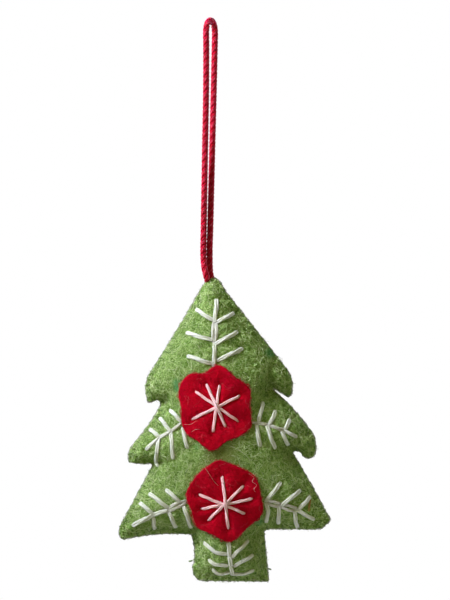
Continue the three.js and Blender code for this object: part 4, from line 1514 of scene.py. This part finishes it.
def yarn_tree():
    tree, graph, given = new_tree("plied_yarn", [
        ("Ply radius", "Float"), ("Ply offset", "Float"), ("Turn", "Float"), ("Flatness", "Float"),
        ("Material", "Material"),
    ])
    line = graph.node("GeometryNodeMeshToCurve", {}, {0: given.out("Geometry")})
    line = graph.node("GeometryNodeResampleCurve", {"mode": "LENGTH"}, {0: line, "Length": YARN_STEP})
    along = graph.node("GeometryNodeSplineParameter", {}, {}, "Length")
    way = graph.node("GeometryNodeInputTangent")
    up = named(graph, "off_felt")
    thick = named(graph, "thick", "FLOAT")
    line = graph.node("GeometryNodeSetCurveRadius", {}, {0: line, "Radius": thick})
    spread = thick * given.out("Ply offset")
    across = graph.node("ShaderNodeVectorMath", {"operation": "CROSS_PRODUCT"}, {0: way, 1: up})
    turned = along * FULL_TURN / given.out("Turn")
    plies = graph.node("GeometryNodeJoinGeometry")
    for ply in range(YARN_PLIES):
        angle = turned + ply * FULL_TURN / YARN_PLIES
        side = angle.cosine() * spread
        rise = angle.sine() * spread
        offset = added(graph, scaled(graph, across, side), scaled(graph, up, rise * given.out("Flatness")))
        wound = graph.node("GeometryNodeSetPosition", {}, {0: line, "Offset": offset})
        tube = tubes_along(graph, wound, PLY_CORNERS, given.out("Ply radius"))
        graph.tree.links.new(tube.socket, plies.socket.node.inputs[0])
    close_tree(graph, plies, given)
    return tree


PLIED_YARN = yarn_tree()
print("yarn tree has", len(PLIED_YARN.nodes), "nodes")

# %% [markdown]
# The yarn is soft off-white wool, slightly hairy and darker in its hollows. A fine noise gives the hair its
# grain, and a wider one keeps long stitches from being one flat white. Where a stitch is thin, the beige core
# of the yarn shows, so the thickness that the yarn tree left on every point tints it. The stars are painted
# pinker, as reddish bounce light from the red felt.

# %% Yarn material
YARN_CORE = (0.4, 0.33, 0.23, 1.0)
CORE_HIDDEN = 0.95
CORE_SHARE = 0.9
HAIR_SIZE = 0.25 * MM
HAIR_SHARE = 0.8
STREAK_SIZE = 3 * MM
STREAK_SHARE = 0.2
YARN_ROUGH = 0.9
YARN_RELIEF = 0.18 * MM
YARN_SHEEN = 0.1
YARN_SCATTER = 0.8


def yarn_material(name, stops):
    material, graph = new_material(name)
    place = object_place(graph)
    hair = grain(graph, place, 1 / HAIR_SIZE, detail=3.0)
    streaks = blotches(graph, place, STREAK_SIZE, low=0.35, high=0.7)
    height = hair * HAIR_SHARE + streaks * STREAK_SHARE
    thick = graph.node("ShaderNodeAttribute", {"attribute_name": "thick"}, {}, "Fac")
    thin = graph.node("ShaderNodeClamp", {}, {"Value": (CORE_HIDDEN - thick) * CORE_SHARE})
    colour = mix_colours(graph, thin, ramp(graph, height, stops), YARN_CORE)
    cloth_surface(graph, colour, YARN_ROUGH, height, YARN_RELIEF, YARN_SHEEN, YARN_SCATTER)
    return material


WHITE_YARN = yarn_material("off_white_yarn", [
    (0.25, (0.52, 0.53, 0.38)), (0.5, (0.585, 0.605, 0.435)), (0.75, (0.6, 0.62, 0.445)),
])
# The stars' pink is painted reddish bounce light from the red felt below them.
RED_BOUNCE_STAR_YARN = yarn_material("pinked_star_yarn", [
    (0.25, (0.64, 0.34, 0.29)), (0.5, (0.83, 0.5, 0.44)), (0.75, (0.88, 0.57, 0.51)),
])
print("yarns:", WHITE_YARN.name, "and", RED_BOUNCE_STAR_YARN.name)

# %% [markdown]
# A stitch of the plan is flat. Rays from the front lay it on whatever it is sewn to, as a chain of points
# that dips below the surface at both ends and grows slimmer there. Shrinkwrapping finished yarn would crush
# it, so only the line is laid down, and the tree dresses it afterwards.

# %% Stitches on a surface
YARN_LIFT = 0.42
YARN_DIP = -0.8
YARN_OVERREACH = 0.45
STITCH_POINTS = 17
STITCH_FINE = 0.5
DIP_LENGTH = 1.1
TAPER_LENGTH = 1.6
STAR_BLUNT = 0.6
SPRIG_BLUNT = 0.82


def overreached(points):
    """A stitch whose ends slip a little past their needle holes before they dip."""
    longer = np.array(points, float)
    longer[0] = towards(points[0], points[1], -YARN_OVERREACH)
    longer[-1] = towards(points[-1], points[-2], -YARN_OVERREACH)
    return longer


def surface_line(points, tree, lift, width=1.0, blunt=STAR_BLUNT):
    """A stitch over a surface: its places and, for each, the way off the felt and the yarn's thickness."""
    points = overreached(points)
    fine = evenly(smooth_line(points, STITCH_FINE), lengths_along(points)[-1] / (STITCH_POINTS - 1))
    along = lengths_along(fine)
    from_end = np.minimum(along, along[-1] - along)
    end = np.clip(from_end / DIP_LENGTH, 0, 1)
    rise = YARN_DIP + (lift - YARN_DIP) * np.sqrt(1 - (1 - end) ** 2)
    slim = width * (blunt + (1 - blunt) * np.clip(from_end / TAPER_LENGTH, 0, 1))
    places, ways, thick = [], [], []
    for (x, z), height, size in zip(fine, rise, slim):
        hit, normal = felt_under(x, z, tree)
        if hit is None:
            continue
        way = normal if normal.y < 0 else -normal
        places.append(hit + way * height)
        ways.append(way)
        thick.append(size)
    return places, ways, thick


def remember(mesh, name, values):
    """Keeps a number or a direction for every point of a mesh."""
    values = np.asarray(values, np.float32)
    kind, field = ("FLOAT_VECTOR", "vector") if values.ndim == 2 else ("FLOAT", "value")
    mesh.attributes.new(name, kind, "POINT").data.foreach_set(field, values.ravel())


def yarn_sizes(radius, offset, turn, flatness):
    """The yarn tree's inputs from sizes in millimetres."""
    return {"Ply radius": radius * MM, "Ply offset": offset * MM, "Turn": turn * MM, "Flatness": flatness}


def yarn_piece(name, lines, sizes, material, slot, *nodes):
    """A mesh of chains of points for the yarn tree, dressed by it into plied yarn."""
    mesh = bpy.data.meshes.new(name)
    points, edges, ways, thick = [], [], [], []
    for places, off, sizes_along in lines:
        first = len(points)
        thick.extend(sizes_along)
        points.extend(tuple(place * MM) for place in places)
        ways.extend(tuple(way) for way in off)
        edges.extend((first + step, first + step + 1) for step in range(len(places) - 1))
    mesh.from_pydata(points, edges, [])
    remember(mesh, "off_felt", ways)
    remember(mesh, "thick", thick)
    made = run_tree(in_scene(name, mesh), PLIED_YARN, {**sizes, "Material": material})
    on_tree(made, slot, *nodes)
    print(name, len(made.data.polygons), "faces")


# %% [markdown]
# Now the plan is sewn. The four stitches of a star climb over each other at the crossing, one yarn higher
# each time, as they do when they are sewn one after the other. The sprigs lie on the felt itself, with yarn
# that is thicker and flatter than the star's.

# %% Embroidery
STAR_CLIMB = 0.38
STAR_CROSSING = 2.2


def star_lines(flower):
    """The four stitches of a star, each climbing over those sewn before it."""
    points, faces, _ = flower_skins[flower.node]
    tree = ray_tree(points, faces)
    crossing = np.array(flower.middle) + TIP
    lines = []
    for order, stitch in enumerate(star_stitches(flower)):
        places, ways, thick = surface_line(stitch, tree, YARN_LIFT)
        for place in places:
            away = math.hypot(place.x - crossing[0], place.z - crossing[1])
            place.y -= STAR_CLIMB * order * math.exp(-((away / STAR_CROSSING) ** 2))
        lines.append((places, ways, thick))
    return lines


SPRIG_YARN = yarn_sizes(radius=0.46, offset=0.45, turn=26, flatness=0.42)
STAR_YARN = yarn_sizes(radius=0.31, offset=0.33, turn=18, flatness=0.7)
for node, sprig in SPRIGS.items():
    lines = [
        surface_line(stitch, front_tree, YARN_LIFT * width, width, SPRIG_BLUNT)
        for stitch, width in sprig_stitches(sprig)
    ]
    yarn_piece(node.replace("_yarn", "_stitches"), lines, SPRIG_YARN, WHITE_YARN, "yarn_white", node)
for flower in FLOWERS:
    node = flower.star_node
    name = node.replace("_yarn", "_stitches")
    yarn_piece(name, star_lines(flower), STAR_YARN, RED_BOUNCE_STAR_YARN, "yarn_white", node)

# %% [markdown]
# Green thread is overcast round the whole rim: from the front it goes over the cut edges and through to the
# back, stitch beside stitch. The stitches are alike, so a tree sets one bent thread on every spot along the
# rim, turned to face outwards and stretched to the felt's depth there.

# %% Overcast tree
ARC_POINTS = 10
ARC_OVER = 0.35
ARC_EDGE = 0.95 * MM
THREAD_CORNERS = 6


def overcast_tree():
    tree, graph, given = new_tree("overcast_rim", [
        ("Thread radius", "Float"), ("Reach", "Float"), ("Slant", "Float"), ("Material", "Material"),
    ])
    inward = given.out("Reach") * -1.0
    over = given.out("Reach") * ARC_OVER
    lean = given.out("Slant")
    back = lean * -1.0

    def corner(x, y, z):
        return graph.node("ShaderNodeCombineXYZ", {}, {0: x, 1: y, 2: z})

    arc = graph.node("GeometryNodeCurvePrimitiveBezierSegment", {}, {
        "Resolution": ARC_POINTS,
        "Start": corner(inward, -MM, back),
        "Start Handle": corner(over, -ARC_EDGE, back),
        "End Handle": corner(over, ARC_EDGE, lean),
        "End": corner(inward, MM, lean),
    })
    spots = graph.node("GeometryNodeMeshToPoints", {}, {0: given.out("Geometry")})
    turn = graph.node("FunctionNodeAxesToRotation", {"primary_axis": "X", "secondary_axis": "Y"}, {
        0: named(graph, "outward"), 1: (0.0, 1.0, 0.0),
    })
    set_on = graph.node("GeometryNodeInstanceOnPoints", {}, {
        "Points": spots, "Instance": arc, "Rotation": turn, "Scale": named(graph, "stretch"),
    })
    lines = graph.node("GeometryNodeRealizeInstances", {}, {0: set_on})
    close_tree(graph, tubes_along(graph, lines, THREAD_CORNERS, given.out("Thread radius")), given)
    return tree


OVERCAST_RIM = overcast_tree()
print("overcast tree has", len(OVERCAST_RIM.nodes), "nodes")

# %% [markdown]
# The thread is finer than the yarn and a darker green than the felt. Each stitch needs its spot on the rim,
# the way out of the tree there and the depth of the felt, which a ray finds at its needle hole. The two cut
# ends of the thread stick out at the trunk, so they are short yarns of their own.

# %% Overcast stitches
THREAD_RADIUS = 0.24
STITCH_SLANT = 0.7
OPEN_HOLD = 3.0
THREAD_TAILS = [(-9.4, -113.6, -1), (22.2, -116.8, 1)]
TAIL_BURIED = -0.8
TAIL_LENGTH = 0.7
TAIL_POINTS = 5
TAIL_DEPTH = -0.3
TAIL_DROOP = 0.25
TAIL_THREAD = yarn_sizes(radius=0.2, offset=0.12, turn=4, flatness=1.0)
GREEN_THREAD = grained_material("green_thread", size=0.3 * MM, detail=2.0, stops=[
    (0.3, (0.07, 0.13, 0.025)), (0.7, (0.22, 0.33, 0.1)),
], roughness=0.8, relief=0.1 * MM)


def overcast_piece():
    mesh = bpy.data.meshes.new("overcast_stitches")
    mesh.from_pydata([(point[0] * MM, 0.0, point[1] * MM) for point, _ in overcast], [], [])
    remember(mesh, "outward", [(-way[0], 0.0, -way[1]) for _, way in overcast])
    stretch = []
    for point, way in overcast:
        hole = point + STITCH_REACH * way
        hit, _ = felt_under(hole[0], hole[1], front_tree)
        stretch.append((1.0, -hit.y if hit else OPEN_HOLD, 1.0))
    remember(mesh, "stretch", stretch)
    made = run_tree(in_scene("overcast_stitches", mesh), OVERCAST_RIM, {
        "Thread radius": THREAD_RADIUS * MM, "Reach": STITCH_REACH * MM, "Slant": STITCH_SLANT * MM,
        "Material": GREEN_THREAD,
    })
    on_tree(made, "thread_green", "seam_thread")
    return made


def thread_tails():
    """The two cut ends of the thread, one at each side of the trunk."""
    lines = []
    for x, z, outward in THREAD_TAILS:
        along = np.linspace(TAIL_BURIED, TAIL_LENGTH, TAIL_POINTS)
        places = [
            Vector((TIP[0] + x + outward * at, TAIL_DEPTH, TIP[1] + z - TAIL_DROOP * at)) for at in along
        ]
        lines.append((places, [Vector((0, -1, 0))] * len(places), [1.0] * len(places)))
    yarn_piece("thread_tails", lines, TAIL_THREAD, GREEN_THREAD, "thread_green")


stitches = overcast_piece()
thread_tails()
print("overcast rim:", len(overcast), "stitches,", len(stitches.data.polygons), "faces")

# %% [markdown]
# What makes felt look like felt is its loose hair. A tree scatters short lines on a skin, turns each at
# random in the cloth, bends them all through one noise and lays them back on the skin at slightly different
# heights. Each fibre keeps a tint of its own as a number, because neighbours in a felt come from different
# fleeces. A hair system would be lost in the export, and a bump alone would leave the outline as clean as
# plastic.

# %% Fibre tree
TURN_SEED = 1
LENGTH_SEED = 2
TINT_SEED = 4
SHORTEST = 0.45
LONGEST = 1.35
FIBRE_POINTS = 6
FIBRE_CORNERS = 3
FLUFF = 720.0
FLUFF_LOW = 0.35
FLUFF_HIGH = 0.75
SKIN_GAP = 0.4


def random_number(graph, low, high, seed):
    limits = {"Min": low, "Max": high, "Seed": seed}
    return graph.node("FunctionNodeRandomValue", {"data_type": "FLOAT"}, limits, "Value")


def scattered_lines(graph, given, skin):
    """Straight lines on a skin, turned and sized at random, each with a tint."""
    spread = graph.node("GeometryNodeDistributePointsOnFaces", {}, {
        0: skin, "Density": given.out("Density"), "Seed": given.out("Seed"),
    })
    tinted = graph.node("GeometryNodeStoreNamedAttribute", {"data_type": "FLOAT", "domain": "POINT"}, {
        0: spread, "Name": "tint", "Value": random_number(graph, 0.0, 1.0, TINT_SEED),
    })
    spin = graph.node("ShaderNodeCombineXYZ", {}, {2: random_number(graph, 0.0, FULL_TURN, TURN_SEED)})
    turn = graph.node("FunctionNodeEulerToRotation", {}, {0: spin})
    facing = graph.node("FunctionNodeRotateRotation", {"rotation_space": "LOCAL"}, {
        0: spread.out("Rotation"), 1: turn,
    })
    line = graph.node("GeometryNodeCurvePrimitiveLine", {}, {"Start": (-0.5, 0, 0), "End": (0.5, 0, 0)})
    set_on = graph.node("GeometryNodeInstanceOnPoints", {}, {
        "Points": tinted, "Instance": line, "Rotation": facing,
        "Scale": random_number(graph, SHORTEST, LONGEST, LENGTH_SEED) * given.out("Length"),
    })
    lines = graph.node("GeometryNodeRealizeInstances", {}, {0: set_on})
    return graph.node("GeometryNodeResampleCurve", {"mode": "COUNT"}, {0: lines, "Count": FIBRE_POINTS})


def fibre_tree():
    tree, graph, given = new_tree("loose_fibres", [
        ("Density", "Float"), ("Seed", "Int"), ("Length", "Float"), ("Curl", "Float"), ("Curl size", "Float"),
        ("Lift", "Float"), ("Radius", "Float"), ("Material", "Material"),
    ])
    skin = given.out("Geometry")
    lines = scattered_lines(graph, given, skin)
    at = graph.node("GeometryNodeInputPosition")
    fineness = 1.0 / given.out("Curl size")
    wave = graph.node("ShaderNodeTexNoise", {}, {"Vector": at, "Scale": fineness, "Detail": 1.0}, "Color")
    bend = scaled(graph, added(graph, wave, (-0.5, -0.5, -0.5)), given.out("Curl"))
    lines = graph.node("GeometryNodeSetPosition", {}, {0: lines, "Offset": bend})
    nearest = graph.node("GeometryNodeProximity", {"target_element": "FACES"}, {0: skin}, "Position")
    off = graph.node("GeometryNodeSampleNearestSurface", {"data_type": "FLOAT_VECTOR"}, {
        "Mesh": skin, "Value": graph.node("GeometryNodeInputNormal"),
    }, "Value")
    fluff = grain(graph, at, FLUFF, detail=1.0)
    high = graph.node("ShaderNodeMapRange", {}, {
        "Value": fluff, "From Min": FLUFF_LOW, "From Max": FLUFF_HIGH,
    })
    height = high * high * given.out("Lift") + given.out("Radius") * SKIN_GAP
    lifted = added(graph, nearest, scaled(graph, off, height))
    lines = graph.node("GeometryNodeSetPosition", {}, {0: lines, "Position": lifted})
    close_tree(graph, tubes_along(graph, lines, FIBRE_CORNERS, given.out("Radius")), given)
    return tree


LOOSE_FIBRES = fibre_tree()
print("fibre tree has", len(LOOSE_FIBRES.nodes), "nodes")

# %% [markdown]
# A fibre takes its colour from its own tint through a ramp: many middle greens, fewer dark and pale ones.
# Near a tuft of other wool the ramp gives way to it, and so it does near the painted shade between the
# flowers. Red felt is dyed more evenly, with a rare pale hair.

# %% Fibre material
FIBRE_ROUGH = 0.9


def fibre_material(name, stops, spotted=None):
    material, graph = new_material(name)
    tint = graph.node("ShaderNodeAttribute", {"attribute_name": "tint"}, {}, "Fac")
    colour = ramp(graph, tint, stops)
    if spotted:
        colour = spotted(graph, object_place(graph), colour)
    shader = graph.node("ShaderNodeBsdfPrincipled", {}, {
        "Base Color": colour, "Roughness": FIBRE_ROUGH, "Specular IOR Level": CLOTH_GLOSS,
    })
    graph.node("ShaderNodeOutputMaterial", {}, {"Surface": shader})
    return material


GREEN_FIBRE = fibre_material("green_felt_fibre", [
    (0.0, (0.035, 0.09, 0.007)), (0.3, (0.155, 0.29, 0.041)), (0.6, (0.325, 0.485, 0.115)),
    (0.85, (0.54, 0.66, 0.235)), (1.0, (0.72, 0.78, 0.42)),
], with_tufts_and_painted_shade)
CURLY_FIBRE = fibre_material("curly_felt_fibre", [
    (0.0, (0.26, 0.41, 0.09)), (0.6, (0.47, 0.62, 0.195)), (1.0, (0.7, 0.76, 0.4)),
], with_tufts_and_painted_shade)
RED_FIBRE = fibre_material("red_felt_fibre", [
    (0.0, (0.29, 0.0, 0.005)), (0.6, (0.435, 0.0, 0.01)), (0.94, (0.51, 0.004, 0.019)),
    (1.0, (0.54, 0.1, 0.1)),
])
RIM_FIBRE = fibre_material("flower_rim_fibre", [
    (0.0, (0.34, 0.003, 0.01)), (0.6, (0.43, 0.04, 0.03)), (1.0, (0.55, 0.24, 0.14)),
])
PALE_HAIR = fibre_material("pale_hair", [(0.0, (0.72, 0.6, 0.46)), (1.0, (0.8, 0.74, 0.6))])
RUST_FIBRE = fibre_material("rust_fibre", [(0.0, (0.42, 0.17, 0.06)), (1.0, (0.55, 0.28, 0.13))])
PALE_CURL = fibre_material("pale_green_curl", [(0.0, (0.52, 0.64, 0.32)), (1.0, (0.6, 0.7, 0.4))])
EDGE_FIBRE = fibre_material("cut_edge_fibre", [
    (0.0, (0.09, 0.11, 0.045)), (0.5, (0.28, 0.3, 0.16)), (1.0, (0.52, 0.48, 0.36)),
])
fibre_looks = [material.name for material in bpy.data.materials if "fibre" in material.name]
print("fibre looks:", ", ".join(fibre_looks))

# %% [markdown]
# Each felt gets thin coats of matted hair and a short fringe along its cut edge. The front also gets pale
# curls and some flyaway hairs that soften the outline, and the flowers a smoother coat and a fringe. Under a
# flower the green felt is bare, because hair there would poke through the red. A skin is the same net as the
# piece below it, so no coat is loose, and several coats with seeds of their own keep every piece small.

# %% Fibres on the felts
PER_SQUARE_MM = 1e6
COVER_INSET = 1.2


def fibre_sizes(length, curl, curl_size, lift, radius):
    """The fibre tree's inputs from sizes in millimetres."""
    sizes = {"Length": length, "Curl": curl, "Curl size": curl_size, "Lift": lift, "Radius": radius}
    return {name: size * MM for name, size in sizes.items()}


def fibres_on(name, points, faces, slot, look, sizes, seed, density):
    """A coat of fibres on a skin. The density is a number of fibres on a square millimetre."""
    made = mesh_object(name, points, faces, look)
    run_tree(made, LOOSE_FIBRES, {
        **sizes, "Material": look, "Seed": seed, "Density": density * PER_SQUARE_MM,
    })
    on_tree(made, slot)
    print(name, len(made.data.polygons), "faces")


def under_flowers(points):
    """Which places lie under a flower, a little inside its rim."""
    covered = np.zeros(len(points), bool)
    for flower in FLOWERS:
        rim = flower_rim(flower)
        offset = points - np.array(flower.middle) - TIP
        angles = np.arctan2(offset[:, 1], offset[:, 0])
        rim_angles = np.arctan2(rim[:, 1], rim[:, 0])
        reach = np.interp(angles, rim_angles, np.linalg.norm(rim, axis=1), period=2 * np.pi)
        covered |= np.linalg.norm(offset, axis=1) < reach - COVER_INSET
    return covered


covered = under_flowers(net_points)
bare_front = [face for face in net_faces if not any(covered[corner] for corner in face)]
back_faces = turned_over(net_faces)
MATTED = fibre_sizes(length=2.7, curl=3.2, curl_size=1.6, lift=0.7, radius=0.055)
CURLY = fibre_sizes(length=5.0, curl=5.5, curl_size=2.4, lift=0.9, radius=0.055)
FLYAWAY = fibre_sizes(length=5.0, curl=6.0, curl_size=4.0, lift=1.9, radius=0.04)
SMOOTHED = fibre_sizes(length=3.6, curl=3.2, curl_size=1.6, lift=0.35, radius=0.05)
FRINGE = fibre_sizes(length=2.0, curl=1.4, curl_size=1.5, lift=1.0, radius=0.05)
SHORT_FRINGE = fibre_sizes(length=2.0, curl=1.4, curl_size=1.5, lift=0.5, radius=0.05)
front = (front_outer, bare_front, "felt_green")
for seed in (3, 21, 40):
    fibres_on(f"front_matted_fibres_{seed}", *front, GREEN_FIBRE, MATTED, seed, density=1.0)
fibres_on("front_curly_fibres", *front, CURLY_FIBRE, CURLY, seed=34, density=0.4)
fibres_on("front_flyaway_fibres", *front, GREEN_FIBRE, FLYAWAY, seed=8, density=0.16)
for seed in (5, 27):
    name = f"back_matted_fibres_{seed}"
    fibres_on(name, back_outer, back_faces, "felt_green", GREEN_FIBRE, MATTED, seed, density=0.82)
for felt, walls in ((front_felt, front_walls), (back_felt, back_walls)):
    points = np.array([vertex.co for vertex in felt.data.vertices]) / MM
    name = felt.name + "_edge_fibres"
    fibres_on(name, points, walls, "felt_green", EDGE_FIBRE, SHORT_FRINGE, seed=17, density=0.9)
for flower in FLOWERS:
    points, skin_faces, rim_faces = flower_skins[flower.node]
    name = flower.node
    fibres_on(name + "_fibres", points, skin_faces, "felt_red", RED_FIBRE, SMOOTHED, seed=11, density=0.8)
    fibres_on(name + "_fringe", points, rim_faces, "felt_red", RIM_FIBRE, FRINGE, seed=13, density=4.5)

# %% [markdown]
# A few long pale hairs have strayed over the felt, as on every handmade piece, some pale green curls stand
# out of it, and one tuft of rust-coloured wool was caught by a leaf. They are set from listed points, laid
# on whatever is on top there, and made by the yarn tree, the hairs and curls with a single hair's thickness.

# %% Stray hairs
STRAY_HAIRS = [
    [(-3.9, -75.9), (-2.3, -77.9), (-1.0, -80.0), (0.5, -82.0), (1.8, -83.3)],
    [(13.8, -78.4), (15.1, -79.2), (16.1, -80.0), (15.1, -81.5), (17.1, -83.0), (15.8, -84.6), (16.6, -85.8)],
    [(-11.9, -58.8), (-9.1, -58.8), (-6.8, -57.3)],
    [(5.9, -67.0), (9.0, -68.5), (12.3, -70.8), (14.6, -73.4)],
    [(-8.9, -61.9), (-7.6, -61.0), (-5.8, -60.7)],
    [(14.4, -120.6), (17.0, -120.9), (19.5, -121.0), (21.4, -120.9)],
]
PALE_CURLS = [
    [(34.0, -62.9), (35.8, -61.0), (37.3, -59.1)], [(37.6, -60.0), (37.7, -62.3), (37.2, -63.8)],
    [(16.9, -77.9), (19.2, -74.8)], [(30.7, -74.8), (32.0, -72.8)],
    [(24.0, -81.7), (24.8, -79.6), (24.3, -77.6)],
]
RUST_TUFT = [(37.7, -87.9), (38.2, -89.5), (37.9, -91.5), (37.8, -93.6)]
HAIR = yarn_sizes(radius=0.05, offset=0.0, turn=9, flatness=1.0)
TUFT = yarn_sizes(radius=0.1, offset=0.32, turn=5, flatness=0.4)
HAIR_LIFT = 0.3


def top_surface():
    """The front felt and the flowers on it, for rays from the front."""
    points, faces = list(front_outer), list(net_faces)
    for skin_points, skin_faces, _ in flower_skins.values():
        faces.extend(shifted(skin_faces, len(points)))
        points.extend(skin_points)
    return ray_tree(points, faces)


front_top = top_surface()
for name, hairs, sizes, look, slot in (
    ("stray_hairs", STRAY_HAIRS, HAIR, PALE_HAIR, "yarn_white"),
    ("pale_curls", PALE_CURLS, HAIR, PALE_CURL, "felt_green"),
    ("rust_tuft", [RUST_TUFT], TUFT, RUST_FIBRE, "felt_green"),
):
    lines = [surface_line(np.array(points) + TIP, front_top, HAIR_LIFT) for points in hairs]
    yarn_piece(name, lines, sizes, look, slot)
